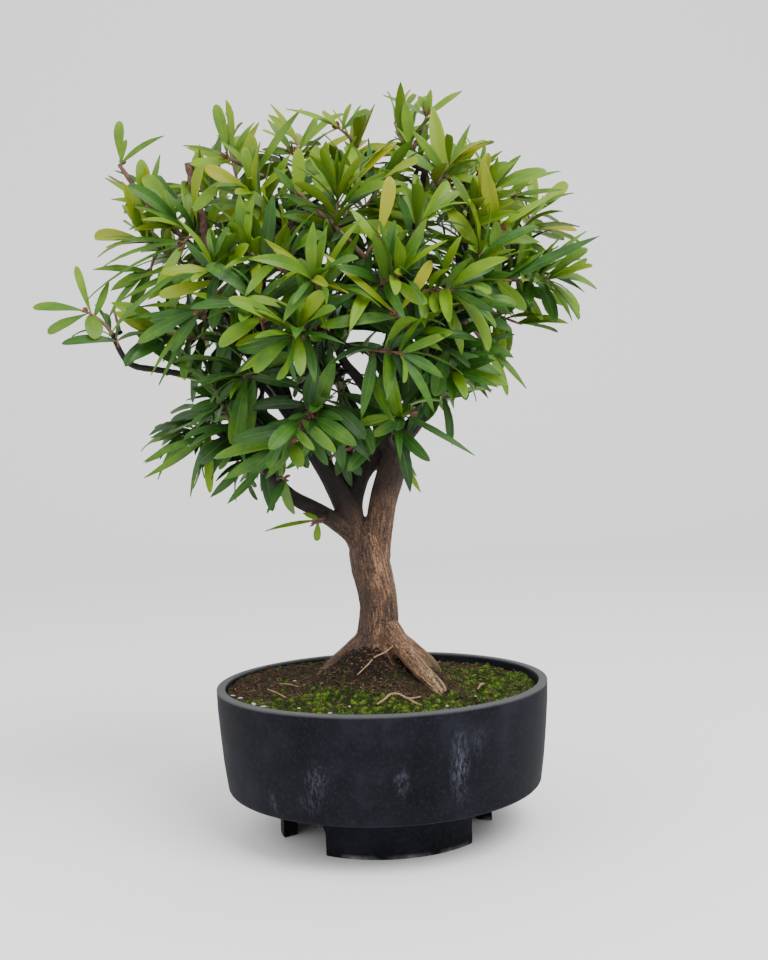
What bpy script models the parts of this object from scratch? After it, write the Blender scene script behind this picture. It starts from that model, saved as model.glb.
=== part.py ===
# Pomegranate bonsai in a round dark pot: pot, drainage mesh, soil, woody tree and its leafy shoots.
# Lengths in the tables are millimetres and become metres through MM.

import math
import random

import bmesh
import bpy
from mathutils import Matrix, Vector
from mathutils.bvhtree import BVHTree

MM = 0.001
GAP = 0.3  # clearance between pieces that touch

# The pot's axis stands off the origin, so that the origin is the centre of the whole footprint.
POT_AXIS = (30.45, -0.3)

# Pot: a drum on a ring foot with three arched cut-outs and one drain hole
POT_SIDES = 40
RIM_RADIUS = 125.0
RIM_HEIGHT = 110.0
RIM_LIP = 1.2
WALL = 6.5
BODY_BOTTOM = 34.4
BODY_BOTTOM_RADIUS = 118.6
BODY_CORNER = 3.0
BELLY_HEIGHT = 76.0
BELLY_RADIUS = 123.0
FLOOR_TOP = 41.5
FLOOR_FILLET = 6.0
FOOT_OUTER = 80.5
FOOT_INNER = 69.0
DRAIN_RADIUS = 12.0
ARCH_DIRECTIONS = (-51.5, 68.5, 188.5)  # degrees, measured from the front towards the right
ARCH_WIDTH = 53.0
ARCH_HEIGHT = 28.0
ARCH_CORNER = 9.0

# Drainage mesh under the soil, over the drain hole
MESH_SIDE = 38.0
MESH_THICKNESS = 1.2
MESH_HOLE = 7.0
MESH_HOLES_A_SIDE = 3

# Soil: level at the wall, with a mound under the trunk
SOIL_SIDES = 40
SOIL_EDGE = 103.5
MOUND_RISE = 27.0
MOUND_SPREAD = 43.0
SOIL_RINGS = (24.0, 44.0, 66.0, 92.0)

# Limbs, as points (x, y, z, radius) down the middle of the wood. Each starts inside the wood that bears it.
LIMBS = {
    "trunk": [(-4, 4, 104, 21), (-3, 4, 122, 19), (-2, 4, 139, 15.6), (0, 2, 166, 13.8),
              (-4, 0, 194, 13.4), (-6, 0, 213, 14.2), (-7, 0, 224, 12.0)],
    "left_limb": [(-4, 0, 203, 9.0), (-11, 0, 216, 9.8), (-21, -2, 238, 8.6), (-34, -4, 265, 6.8),
                  (-52, -8, 297, 5.8), (-64, -10, 317, 5.3), (-81, -14, 341, 4.3)],
    "right_limb": [(-3, 0, 203, 9.0), (-2, 0, 222, 10.2), (4, -2, 247, 9.8), (10, -2, 263, 9.6),
                   (17, 0, 283, 9.2), (21, 2, 298, 8.0)],
    "long_left": [(-77, -13, 336, 3.2), (-96, -20, 338, 2.6), (-125, -30, 342, 2.3), (-153, -40, 347, 2.2),
                  (-174, -45, 352, 2.1), (-185, -45, 371, 1.8)],
    "upper_left": [(-79, -14, 338, 3.6), (-95, -10, 367, 3.4), (-110, 0, 395, 3.2), (-123, 4, 419, 3.0),
                   (-126, 4, 446, 2.6), (-129, 8, 469, 2.2)],
    "left_inner": [(-61, -9, 312, 3.8), (-72, 20, 350, 3.4), (-81, 30, 390, 3.2), (-84, 30, 422, 2.8),
                   (-72, 20, 453, 2.4), (-51, 5, 469, 2.0)],
    "middle_limb": [(-15, -1, 222, 6.5), (-18, 3, 243, 6.6), (-13, 9, 262, 6.4), (-7, 16, 281, 6.0),
                    (-11, 32, 306, 4.6), (-22, 48, 331, 4.0), (-34, 62, 361, 3.6), (-43, 72, 399, 3.2),
                    (-50, 78, 437, 2.8), (-56, 78, 475, 2.2)],
    "back_limb": [(-8, 15, 276, 5.0), (9, 40, 309, 4.4), (19, 60, 342, 4.0), (26, 76, 385, 3.6),
                  (32, 86, 428, 3.0), (31, 86, 466, 2.4)],
    "leader": [(20, 2, 292, 6.6), (10, 0, 321, 5.8), (12, -5, 348, 5.4), (17, -12, 374, 4.4),
               (24, -18, 403, 3.8), (32, -20, 436, 3.2), (39, -20, 469, 2.6), (45, -16, 496, 2.0)],
    "front_limb": [(11, 0, 318, 4.0), (-1, -6, 326, 3.6), (-11, -18, 339, 3.4), (-22, -34, 353, 3.0),
                   (-26, -50, 374, 2.8), (-29, -62, 398, 2.4), (-25, -70, 416, 2.0)],
    "right_arm": [(20, 2, 292, 6.4), (36, 10, 312, 5.6), (42, 15, 342, 5.0), (50, 20, 366, 4.4),
                  (66, 20, 388, 3.8), (86, 18, 407, 3.2), (103, 12, 425, 2.6)],
    "right_front": [(42, 14, 342, 3.6), (55, -15, 369, 3.2), (67, -40, 378, 2.8), (76, -60, 382, 2.2)],
    "right_back": [(41, 14, 336, 3.8), (62, 50, 369, 3.2), (83, 80, 396, 2.8), (99, 100, 424, 2.2)],
    "right_top": [(63, 20, 384, 3.2), (70, 8, 420, 2.8), (76, 0, 451, 2.4), (82, -4, 479, 2.0)],
    "low_left": [(-17, -2, 222, 6.5), (-34, -10, 238, 5.2), (-48, -14, 248, 4.6), (-64, -20, 256, 4.2),
                 (-76, -24, 268, 3.8), (-90, -28, 283, 3.2), (-105, -34, 295, 2.6), (-117, -40, 304, 2.2)],
    "cut_stub": [(-78, -13, 337, 4.0), (-81, -17, 362, 5.0), (-85, -24, 388, 7.0), (-88, -30, 417, 9.0)],
}
THICK_LIMBS = ("left_limb", "right_limb", "middle_limb")
TRUNK_SIDES = 14
TRUNK_LOBES = 5
TRUNK_LOBE_DEPTH = 0.07
THICK_SIDES = 9
LIMB_SIDES = 6
ROOT_SIDES = 8

# Surface roots, from inside the trunk out over the mound and down into the soil
ROOTS = {
    "front_right": [(2, 0, 158, 7.5), (14, -10, 139, 7.8), (25, -22, 125, 6.8), (34, -32, 116, 6.6),
                    (41, -39, 108, 6.2)],
    "back_right": [(4, 8, 146, 7.5), (20, 14, 130, 8.2), (33, 20, 118, 7.6), (42, 25, 106, 5.6)],
    "left": [(-8, 4, 142, 8.5), (-22, 4, 130, 8.0), (-36, 2, 120, 6.2), (-50, -2, 107, 4.4)],
    "front_left": [(-8, -2, 138, 8.0), (-18, -14, 126, 6.6), (-29, -27, 116, 5.0), (-37, -38, 105, 3.6)],
    "back_left": [(-6, 10, 140, 8.0), (-18, 22, 126, 6.6), (-29, 34, 115, 5.0), (-37, 43, 104, 3.6)],
}

# Tips of the shoots that show in the photograph, and of one on the limb behind them on the right
SEEN_SHOOTS = {
    "far_left": (-213, -46, 387), "left": (-165, -12, 449), "top_left_tip": (-188, 10, 508),
    "left_front_high": (-139, -34, 462), "top_left": (-113, 12, 516), "top_left_front": (-79, -30, 489),
    "left_front": (-113, -68, 419), "left_low_front": (-150, -30, 380), "crest_left": (-54, 22, 534),
    "crest": (-16, -6, 523), "crest_front": (6, -58, 482), "summit": (46, -10, 533),
    "crest_right": (64, -30, 495), "right_high": (98, 14, 500), "right_front_high": (96, -46, 455),
    "right_shoulder": (140, 20, 462), "right_front": (95, -58, 404), "right_tip": (137, -4, 426),
    "right_low": (118, 18, 396), "face_right": (48, -96, 407), "face_middle": (10, -104, 408),
    "face_high": (-18, -92, 454), "face_left_high": (-61, -92, 427), "face_left": (-42, -112, 375),
    "face_centre": (7, -112, 359), "face_far_left": (-88, -94, 377), "face_low_right": (51, -86, 367),
    "right_drooping": (80, -46, 350), "low_centre": (27, -62, 310), "low_left_front": (-54, -78, 292),
    "low_left_middle": (-102, -66, 339), "low_left_outer": (-146, -26, 313),
    "low_left_tip": (-131, -46, 289), "low_left_inner": (-94, -26, 283), "low_face": (-31, -85, 318),
    "fork_sprig": (-52, -40, 238), "behind_trunk": (24, 36, 268), "low_left_back": (-90, 40, 273),
    "low_right": (74, -24, 352), "right_back": (108, 98, 450), "low_left_side": (-108, -50, 302),
    "face_top": (-9, -72, 474), "face_upper_right": (34, -84, 436), "face_inner": (-30, -104, 408),
    "top_left_inner": (-122, 24, 496),
}
# Shoots that don't point simply outwards, and shoots smaller than the rest
SHOOT_LEANS = {
    "top_left_tip": (-0.45, 0.05, 0.85), "far_left": (-0.87, -0.27, 0.3), "summit": (0.35, 0.0, 0.9),
    "low_left_front": (-0.4, -0.35, -0.8), "low_centre": (0.45, -0.8, 0.45),
    "low_left_outer": (-0.85, -0.3, -0.2), "low_left_tip": (-0.8, -0.3, -0.45),
    "low_left_inner": (-0.55, -0.35, -0.5), "low_left_back": (-0.35, 0.3, -0.5),
    "right_drooping": (0.7, -0.3, -0.2), "right_low": (0.9, 0.1, 0.1), "low_left_side": (-0.7, -0.4, -0.6),
    "low_right": (0.8, -0.1, 0.25), "behind_trunk": (0.85, 0.0, -0.1), "fork_sprig": (-0.9, -0.2, 0.3),
}
SHOOT_SIZES = {"fork_sprig": 0.4, "behind_trunk": 0.7, "top_left_tip": 0.6, "low_centre": 0.9}
# The rest fill the back of the crown, each as far from the others as the draw finds
BACK_SHOOTS = 8
CROWN_HEART = Vector((-40.0, 8.0, 380.0))
CROWN_RADII = Vector((135.0, 128.0, 128.0))
BACK_FROM = 52.0  # how far behind the heart a drawn shoot lies at least
BACK_DRAWS = 300
SEED = 17

# Twigs that carry the shoots, and the shoots themselves
TWIG_SIDES = 4
TWIG_POINTS = 4
TWIG_TIP_RADIUS = 1.3
TWIG_SWELL = 70.0  # a twig is a millimetre thicker at its start for each so many millimetres of length
TWIG_SHARE = 0.72  # how thick a twig may be beside the wood that bears it
TWIG_NEAREST = 9.0  # wood nearer than this to a shoot's base is too near to bear its twig
WOOD_STEP = 6.0  # spacing of the places on a limb where a twig can start
SHOOT_LENGTH = 34.0
SHOOT_BASE_RADIUS = 1.3
SHOOT_TIP_RADIUS = 0.9
PAIR_STATIONS = (0.15, 0.38, 0.59, 0.77, 0.94)
CROWN_LOW = 240.0
CROWN_HIGH = 530.0
LIGHT = Vector((0.1, -0.8, 0.75))  # leaves turn their upper sides to it

# Leaf outlines: (share of the length, share of the greatest half width), then width over length
LEAF_FORMS = (
    (((0.40, 0.95), (0.80, 0.80)), 0.25),
    (((0.48, 0.92), (0.82, 0.92)), 0.28),
    (((0.36, 1.00), (0.76, 0.76)), 0.29),
)
SMALL_FORM = (((0.44, 0.95), (0.80, 0.85)), 0.31)
LEAF_THICKNESS = 1.3
LEAF_BASE = 1.7  # how far along the stem a leaf's base reaches
LEAF_CLEARANCE = 0.5
LEAF_TEST_START = 3.0
LEAF_REACH = 115.0  # leaves whose middles are farther off than this can't meet
LEAF_TURNS = (0, 14, -14, 28, -28, 42, -42, 56, -56)  # degrees tried round the shoot, in this order

COLOURS = {
    "pot_glaze": ((0.045, 0.047, 0.055), 0.62, 0.0),
    "mesh_plastic": ((0.02, 0.02, 0.02), 0.5, 0.0),
    "soil": ((0.060, 0.045, 0.028), 0.95, 0.0),
    "bark": ((0.150, 0.095, 0.065), 0.85, 0.0),
    "leaf": ((0.110, 0.260, 0.045), 0.42, 0.0),
}


def clear_scene():
    for old in list(bpy.data.objects):
        bpy.data.objects.remove(old)


def make_material(name):
    colour, roughness, metallic = COLOURS[name]
    material = bpy.data.materials.new(name)
    material.use_nodes = True
    shader = material.node_tree.nodes["Principled BSDF"]
    shader.inputs["Base Color"].default_value = (*colour, 1.0)
    shader.inputs["Roughness"].default_value = roughness
    shader.inputs["Metallic"].default_value = metallic
    return material


def add_object(name, vertices, faces, material=None):
    """A mesh object from points in millimetres."""
    mesh = bpy.data.meshes.new(name)
    mesh.from_pydata([Vector(v) * MM for v in vertices], [], faces)
    mesh.update()
    obj = bpy.data.objects.new(name, mesh)
    bpy.context.scene.collection.objects.link(obj)
    if material:
        mesh.materials.append(material)
    return obj


def applied(obj):
    """Bakes the object's modifiers into its mesh."""
    graph = bpy.context.evaluated_depsgraph_get()
    mesh = bpy.data.meshes.new_from_object(obj.evaluated_get(graph))
    obj.modifiers.clear()
    obj.data = mesh
    return obj


def combined(obj, others, operation):
    """Joins the others to obj, or cuts them from it, in one Boolean, and removes them."""
    helpers = bpy.data.collections.new(obj.name + "_helpers")
    bpy.context.scene.collection.children.link(helpers)
    for other in others:
        bpy.context.scene.collection.objects.unlink(other)
        helpers.objects.link(other)
    boolean = obj.modifiers.new(operation, "BOOLEAN")
    boolean.operation = operation
    boolean.operand_type = "COLLECTION"
    boolean.collection = helpers
    boolean.solver = "MANIFOLD"
    bpy.context.view_layer.update()
    applied(obj)
    for other in others:
        bpy.data.objects.remove(other)
    bpy.data.collections.remove(helpers)
    return obj


def smooth(obj, angle=35.0):
    obj.data.shade_smooth()
    obj.data.set_sharp_from_angle(angle=math.radians(angle))


def lathe(name, profile, sides, material=None):
    """A closed profile of (radius, height), run upwards on its outer side, turned about the pot's axis."""
    count = len(profile)
    vertices = []
    for i in range(sides):
        turn = 2 * math.pi * i / sides
        vertices += [(r * math.cos(turn), r * math.sin(turn), z) for r, z in profile]
    faces = []
    for i in range(sides):
        this, after = i * count, (i + 1) % sides * count
        for j in range(count):
            k = (j + 1) % count
            faces.append((this + j, after + j, after + k, this + k))
    return add_object(name, vertices, faces, material)


def arch_cutter(direction):
    """An arched prism through the foot ring, towards the given direction."""
    half = ARCH_WIDTH / 2
    crown = ARCH_HEIGHT - ARCH_CORNER
    outline = [(-half, -2.0)]
    for middle, start in ((ARCH_CORNER - half, 180), (half - ARCH_CORNER, 90)):
        for step in range(4):
            turn = math.radians(start - 30 * step)
            outline.append((middle + ARCH_CORNER * math.cos(turn), crown + ARCH_CORNER * math.sin(turn)))
    outline.append((half, -2.0))
    count = len(outline)
    near, far = FOOT_INNER - 15.0, FOOT_OUTER + 8.0
    vertices = [(x, -near, z) for x, z in outline] + [(x, -far, z) for x, z in outline]
    faces = [tuple(range(count)), tuple(reversed(range(count, 2 * count)))]
    faces += [(i, i + count, (i + 1) % count + count, (i + 1) % count) for i in range(count)]
    cutter = add_object("arch_cutter", vertices, faces)
    cutter.data.transform(Matrix.Rotation(math.radians(direction), 4, "Z"))
    face_outwards(cutter)
    return cutter


def face_outwards(obj):
    mesh = bmesh.new()
    mesh.from_mesh(obj.data)
    bmesh.ops.recalc_face_normals(mesh, faces=mesh.faces)
    mesh.to_mesh(obj.data)
    mesh.free()


def make_pot(material):
    inner_rim = RIM_RADIUS - WALL
    inner_floor = BODY_BOTTOM_RADIUS - WALL
    profile = [
        (FOOT_INNER, 0.0), (FOOT_OUTER, 0.0), (FOOT_OUTER, BODY_BOTTOM - 1.0),
        (BODY_BOTTOM_RADIUS - BODY_CORNER, BODY_BOTTOM), (BODY_BOTTOM_RADIUS, BODY_BOTTOM + BODY_CORNER),
        (BELLY_RADIUS, BELLY_HEIGHT), (RIM_RADIUS, RIM_HEIGHT - RIM_LIP), (RIM_RADIUS - RIM_LIP, RIM_HEIGHT),
        (inner_rim + RIM_LIP, RIM_HEIGHT), (inner_rim, RIM_HEIGHT - RIM_LIP),
        (inner_floor, FLOOR_TOP + FLOOR_FILLET), (inner_floor - FLOOR_FILLET, FLOOR_TOP),
        (DRAIN_RADIUS, FLOOR_TOP), (DRAIN_RADIUS, BODY_BOTTOM - 2.0), (FOOT_INNER, BODY_BOTTOM - 2.0),
    ]
    pot = lathe("pot", profile, POT_SIDES, material)
    face_outwards(pot)
    combined(pot, [arch_cutter(direction) for direction in ARCH_DIRECTIONS], "DIFFERENCE")
    smooth(pot)
    return pot


def make_box(name, low, high, material=None):
    corners = [(x, y, z) for x in (low[0], high[0]) for y in (low[1], high[1]) for z in (low[2], high[2])]
    faces = [(0, 1, 3, 2), (4, 6, 7, 5), (0, 4, 5, 1), (2, 3, 7, 6), (0, 2, 6, 4), (1, 5, 7, 3)]
    return add_object(name, corners, faces, material)


def make_drainage_mesh(material):
    half = MESH_SIDE / 2
    low = FLOOR_TOP + GAP
    plate = make_box("drainage_mesh", (-half, -half, low), (half, half, low + MESH_THICKNESS), material)
    pitch = MESH_SIDE / (MESH_HOLES_A_SIDE + 0.5)
    first = -pitch * (MESH_HOLES_A_SIDE - 1) / 2
    reach = MESH_HOLE / 2
    cutters = []
    for i in range(MESH_HOLES_A_SIDE):
        for j in range(MESH_HOLES_A_SIDE):
            x, y = first + pitch * i, first + pitch * j
            cutters.append(make_box("hole", (x - reach, y - reach, low - 1), (x + reach, y + reach, low + 3)))
    return combined(plate, cutters, "DIFFERENCE")


def soil_height(x, y):
    """Height of the soil's surface: level at the wall, a mound under the trunk, and slight hollows."""
    radius = math.hypot(x, y)
    mound = MOUND_RISE * math.exp(-((radius / MOUND_SPREAD) ** 2))
    hollows = 1.1 * math.sin(x / 13.0 + 0.7) * math.cos(y / 11.0) + 0.7 * math.sin((x + y) / 6.5)
    return SOIL_EDGE + mound + hollows * min(1.0, (RIM_RADIUS - WALL - radius) / 20.0)


def make_soil(material):
    """Fills the pot up to the soil's surface, over the drainage mesh."""
    wall = RIM_RADIUS - WALL - GAP
    bottom_radius = BODY_BOTTOM_RADIUS - WALL - GAP
    lean = (wall - bottom_radius) / (RIM_HEIGHT - RIM_LIP - FLOOR_TOP - FLOOR_FILLET)
    low = FLOOR_TOP + GAP
    rings = [(bottom_radius - FLOOR_FILLET, low), (bottom_radius, low + FLOOR_FILLET)]
    edge = wall - lean * (RIM_HEIGHT - SOIL_EDGE) - 0.15
    radii = [r for r, _ in rings] + [edge] + list(reversed(SOIL_RINGS))
    vertices = []
    for i, radius in enumerate(radii):
        for k in range(SOIL_SIDES):
            turn = 2 * math.pi * k / SOIL_SIDES
            x, y = radius * math.cos(turn), radius * math.sin(turn)
            z = rings[i][1] if i < len(rings) else soil_height(x, y)
            vertices.append((x, y, z))
    faces = [tuple(reversed(range(SOIL_SIDES)))]
    for i in range(len(radii) - 1):
        low_ring, high_ring = i * SOIL_SIDES, (i + 1) * SOIL_SIDES
        for k in range(SOIL_SIDES):
            after = (k + 1) % SOIL_SIDES
            faces.append((low_ring + k, low_ring + after, high_ring + after, high_ring + k))
    top = (len(radii) - 1) * SOIL_SIDES
    vertices.append((0.0, 0.0, soil_height(0.0, 0.0)))
    faces += [(top + k, top + (k + 1) % SOIL_SIDES, len(vertices) - 1) for k in range(SOIL_SIDES)]
    soil = add_object("soil", vertices, faces, material)
    half = MESH_SIDE / 2 + GAP
    recess = make_box("recess", (-half, -half, low - 2), (half, half, low + MESH_THICKNESS + GAP))
    combined(soil, [recess] + wood_tubes(BURIED, GAP + 0.1), "DIFFERENCE")
    smooth(soil)
    return soil


def turned_frames(points):
    """A lengthwise and two cross directions at each point, turned as little as possible along the way."""
    frames = []
    side = None
    for i, point in enumerate(points):
        along = (points[min(i + 1, len(points) - 1)] - points[max(i - 1, 0)]).normalized()
        if side is None:
            side = along.cross(Vector((0, 1, 0.001))).normalized()
        side = (side - along * side.dot(along)).normalized()
        frames.append((along, side, along.cross(side)))
    return frames


def tube(points, radii, sides, lobes=0, lobe_depth=0.0):
    """Vertices and faces of a closed tapering tube along the points, with optional lobes round it."""
    vertices = []
    for point, radius, (_, side, up) in zip(points, radii, turned_frames(points)):
        for k in range(sides):
            turn = 2 * math.pi * k / sides
            reach = radius * (1 + lobe_depth * math.cos(lobes * turn + 0.5))
            vertices.append(point + (side * math.cos(turn) + up * math.sin(turn)) * reach)
    faces = [tuple(reversed(range(sides)))]
    for i in range(len(points) - 1):
        for k in range(sides):
            after = (k + 1) % sides
            faces.append((i * sides + k, i * sides + after, (i + 1) * sides + after, (i + 1) * sides + k))
    last = (len(points) - 1) * sides
    faces.append(tuple(range(last, last + sides)))
    return vertices, faces


def guide(rows):
    return [Vector(row[:3]) for row in rows], [row[3] for row in rows]


def wood_tubes(names, swell=0.0):
    """Tube objects of the named limbs and roots, made fatter and longer by swell."""
    made = []
    for name in names:
        points, radii = guide(LIMBS.get(name) or ROOTS[name])
        points[0] -= (points[1] - points[0]).normalized() * swell
        points[-1] += (points[-1] - points[-2]).normalized() * swell
        radii = [radius + swell for radius in radii]
        if name == "trunk":
            shape = tube(points, radii, TRUNK_SIDES, TRUNK_LOBES, TRUNK_LOBE_DEPTH)
        else:
            sides = THICK_SIDES if name in THICK_LIMBS else ROOT_SIDES if name in ROOTS else LIMB_SIDES
            shape = tube(points, radii, sides)
        made.append(add_object(name, *shape))
    return made


def shoot_direction(name, tip):
    """Shoots point away from the heart of the crown, and high ones turn up towards the light."""
    if name in SHOOT_LEANS:
        return Vector(SHOOT_LEANS[name]).normalized()
    out = tip - CROWN_HEART
    out.z *= 0.6
    out = out.normalized() + Vector((0, 0, 0.1 + 0.4 * share_of_height(tip)))
    return out.normalized()


def share_of_height(point):
    return min(1.0, max(0.0, (point.z - CROWN_LOW) / (CROWN_HIGH - CROWN_LOW)))


def shoot_size(name):
    return SHOOT_SIZES.get(name, 1.0)


def shoot_tips():
    """Name and tip of every shoot: those seen in the photograph, then the back of the crown."""
    tips = [(name, Vector(tip)) for name, tip in SEEN_SHOOTS.items()]
    draw = random.Random(SEED)
    for number in range(BACK_SHOOTS):
        best, best_room = None, -1.0
        for _ in range(BACK_DRAWS):
            ray = Vector([draw.gauss(0, 1) for _ in range(3)]).normalized()
            tip = CROWN_HEART + Vector([a * b for a, b in zip(ray, CROWN_RADII)]) * draw.uniform(0.86, 1.0)
            if tip.y < CROWN_HEART.y + BACK_FROM or tip.z < CROWN_LOW + 40:
                continue
            room = min((tip - other).length for _, other in tips)
            if room > best_room:
                best, best_room = tip, room
        tips.append((f"back_{number + 1:02d}", best))
    return tips


def grown_twigs(tips):
    """A curved twig for each shoot, from the nearest fitting wood to its base, nearest shoots first."""
    wood = []
    for name, rows in LIMBS.items():
        if name == "trunk":
            continue
        points, radii = guide(rows)
        for a, b, ra, rb in zip(points[1:], points[2:], radii[1:], radii[2:]):
            steps = max(2, int((b - a).length / WOOD_STEP))
            along = (b - a).normalized()
            wood += [(a.lerp(b, s / steps), along, ra + (rb - ra) * s / steps) for s in range(steps + 1)]
    shoots = []
    for name, tip in tips:
        direction = shoot_direction(name, tip)
        base = tip - direction * SHOOT_LENGTH * shoot_size(name)
        shoots.append([min((base - p).length for p, _, _ in wood), name, base, direction])
    shoots.sort(key=lambda row: row[0])
    twigs = {}
    for _, name, base, direction in shoots:
        def cost(piece):
            point, along, _ = piece
            reach = base - point
            length = max(reach.length, 1.0)
            return length * (1.7 - 0.5 * reach.dot(along) / length - 0.35 * reach.dot(direction) / length)

        far_enough = [piece for piece in wood if (base - piece[0]).length > TWIG_NEAREST]
        point, along, parent_radius = min(far_enough, key=cost)
        length = (base - point).length
        leave = (along + (base - point).normalized() * 0.8).normalized()
        controls = (point, point + leave * length * 0.38, base - direction * length * 0.34, base)
        points = [bezier(controls, i / (TWIG_POINTS - 1)) for i in range(TWIG_POINTS)]
        start = min(TWIG_SHARE * parent_radius, TWIG_TIP_RADIUS + 0.1 + length / TWIG_SWELL)
        start = max(TWIG_TIP_RADIUS + 0.15, start)
        radii = [start + (TWIG_TIP_RADIUS - start) * i / (TWIG_POINTS - 1) for i in range(TWIG_POINTS)]
        twigs[name] = (points, radii)
        for a, b, radius in zip(points[1:], points[2:], radii[1:]):
            wood.append((a, (b - a).normalized(), radius))
    order = [name for name, _ in tips]
    return {name: twigs[name] for name in order}


def bezier(controls, t):
    a, b, c, d = controls
    u = 1 - t
    return a * u**3 + b * 3 * u * u * t + c * 3 * u * t * t + d * t**3


def leaf_rings(base, along, normal, length, bend, form, swell=0.0):
    """Three-cornered rings of an arching, keeled blade, then its tip. Corners: left, keel, right."""
    outline, ratio = form
    across = along.cross(normal)
    rings = []
    for t, share in outline:
        middle, lift = arc_point(base, along, normal, length, bend, t)
        width = length * ratio / 2 * share + swell
        rings.append([middle - across * width + lift * swell, middle - lift * (LEAF_THICKNESS + swell),
                      middle + across * width + lift * swell])
    return rings, arc_point(base, along, normal, length, bend, 1.0)[0]


def leaf_test_shape(base, along, normal, length, bend, form):
    """A fattened, closed blade that starts a little way out from the stem, for crossing tests."""
    rings, tip = leaf_rings(base, along, normal, length, bend, form, LEAF_CLEARANCE)
    start = base + along * LEAF_TEST_START
    side = along.cross(normal) * (LEAF_BASE / 2 + LEAF_CLEARANCE)
    depth = normal * (LEAF_BASE / 2 + LEAF_CLEARANCE)
    vertices = [start - side + depth, start - side - depth, start + side - depth, start + side + depth]
    return add_blade(vertices, [(0, 1, 2, 3)], [0, 1, 2, 3], rings, tip)


def add_blade(vertices, faces, base, rings, tip):
    """Adds a blade on a four-cornered base: upper left, lower left, lower right, upper right."""
    first = len(vertices)
    for ring in rings:
        vertices += ring
    vertices.append(tip)
    left, keel, right = first, first + 1, first + 2
    faces += [(base[1], base[0], left), (base[1], left, keel), (base[2], base[1], keel)]
    faces += [(base[2], keel, right), (base[3], base[2], right)]
    faces += [(base[0], base[3], right), (base[0], right, left)]
    for i in range(len(rings) - 1):
        for k in range(3):
            a, b = first + 3 * i + k, first + 3 * i + (k + 1) % 3
            faces += [(b, a, b + 3), (a, a + 3, b + 3)]
    last = first + 3 * (len(rings) - 1)
    faces += [(last + (k + 1) % 3, last + k, len(vertices) - 1) for k in range(3)]
    return vertices, faces


def arc_point(base, along, normal, length, bend, t):
    """Point and blade normal at share t of a leaf's midrib, which is an arc."""
    turn = bend * t
    point = base + along * (length * math.sin(turn) / bend) - normal * (length * (1 - math.cos(turn)) / bend)
    return point, normal * math.cos(turn) + along * math.sin(turn)


def leaf_plan(points, size, draw):
    """Where each leaf of a shoot would like to be: opposite pairs, each pair a quarter turn from the last."""
    axis = (points[-1] - points[0]).normalized()
    side, up = stem_sides(axis)
    height = share_of_height(points[-1])
    plan = []
    for k, station in enumerate(PAIR_STATIONS):
        share = k / (len(PAIR_STATIONS) - 1)
        for j in range(2):
            plan.append({
                "at": points[0].lerp(points[-1], station),
                "axis": axis, "side": side, "up": up, "pair": k, "face": (k + 2 * j) % 4,
                "round": math.pi / 2 * (k + 2 * j) + draw.uniform(-0.25, 0.25),
                "spread": math.radians(78 - 38 * share + draw.uniform(-12, 12)),
                "tilt": -0.12 + 0.45 * height + draw.uniform(-0.12, 0.12),
                "length": (54 - 12 * share) * draw.uniform(0.78, 1.2) * size,
                "bend": (0.85 - 0.4 * height) * draw.uniform(0.3, 1.4),
                "form": SMALL_FORM if k == len(PAIR_STATIONS) - 1 else LEAF_FORMS[draw.randrange(3)],
            })
    return plan


def leaf_frame(leaf, turn):
    """Direction and upper-side normal of a leaf turned round its shoot."""
    round_ = leaf["round"] + math.radians(turn)
    out = leaf["side"] * math.cos(round_) + leaf["up"] * math.sin(round_)
    along = leaf["axis"] * math.cos(leaf["spread"]) + out * math.sin(leaf["spread"])
    along = (along + Vector((0, 0, leaf["tilt"]))).normalized()
    light = LIGHT + leaf["axis"] * 0.2
    normal = light - along * light.dot(along)
    if normal.length < 0.15:
        normal = leaf["axis"] - along * leaf["axis"].dot(along)
    return along, normal.normalized()


def tree_of(shape):
    return BVHTree.FromPolygons(*shape)


def touches(tree, others):
    return any(tree.overlap(other) for other in others)


def crosses_itself(shape, tree):
    """True if two faces that share no corner cross."""
    faces = shape[1]
    return any(a < b and not set(faces[a]) & set(faces[b]) for a, b in tree.overlap(tree))


def placed_leaves(stems, wood):
    """Each shoot's leaves, each turned round its shoot until it crosses nothing, or left out."""
    stem_trees = {name: tree_of(tube(points, radii, 4)) for name, (points, radii) in stems.items()}
    finished, blades, placed = [], [], {}
    for index, (name, (points, radii)) in enumerate(stems.items()):
        draw = random.Random(SEED * 1000 + index)
        foreign = wood + finished + [tree for other, tree in stem_trees.items() if other != name]
        placed[name] = []
        for leaf in leaf_plan(points, shoot_size(name), draw):
            near = [tree for middle, tree in blades if (middle - leaf["at"]).length < LEAF_REACH]
            for turn in LEAF_TURNS:
                along, normal = leaf_frame(leaf, turn)
                shape = (leaf["at"], along, normal, leaf["length"], leaf["bend"], leaf["form"])
                blade = tree_of(leaf_test_shape(*shape))
                if touches(blade, foreign + near):
                    continue
                grown = placed[name] + [(leaf["pair"], leaf["face"], shape)]
                skin = shoot_mesh(points, radii, grown)
                tree = tree_of(skin)
                if not crosses_itself(skin, tree) and not touches(tree, foreign):
                    placed[name] = grown
                    blades.append((leaf["at"] + along * leaf["length"] / 2, blade))
                    break
        finished.append(tree_of(shoot_mesh(points, radii, placed[name])))
    return placed


def make_tree(twigs, material):
    """Trunk, limbs, twigs and surface roots: one grown piece of wood."""
    trunk, *rest = wood_tubes(list(LIMBS) + list(ROOTS))
    trunk.name = "trunk_and_branches"
    for name, (points, radii) in twigs.items():
        rest.append(add_object("twig", *tube(points, radii, TWIG_SIDES)))
    combined(trunk, rest, "UNION")
    trunk.data.materials.clear()
    trunk.data.materials.append(material)
    smooth(trunk, 50.0)
    return trunk


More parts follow.
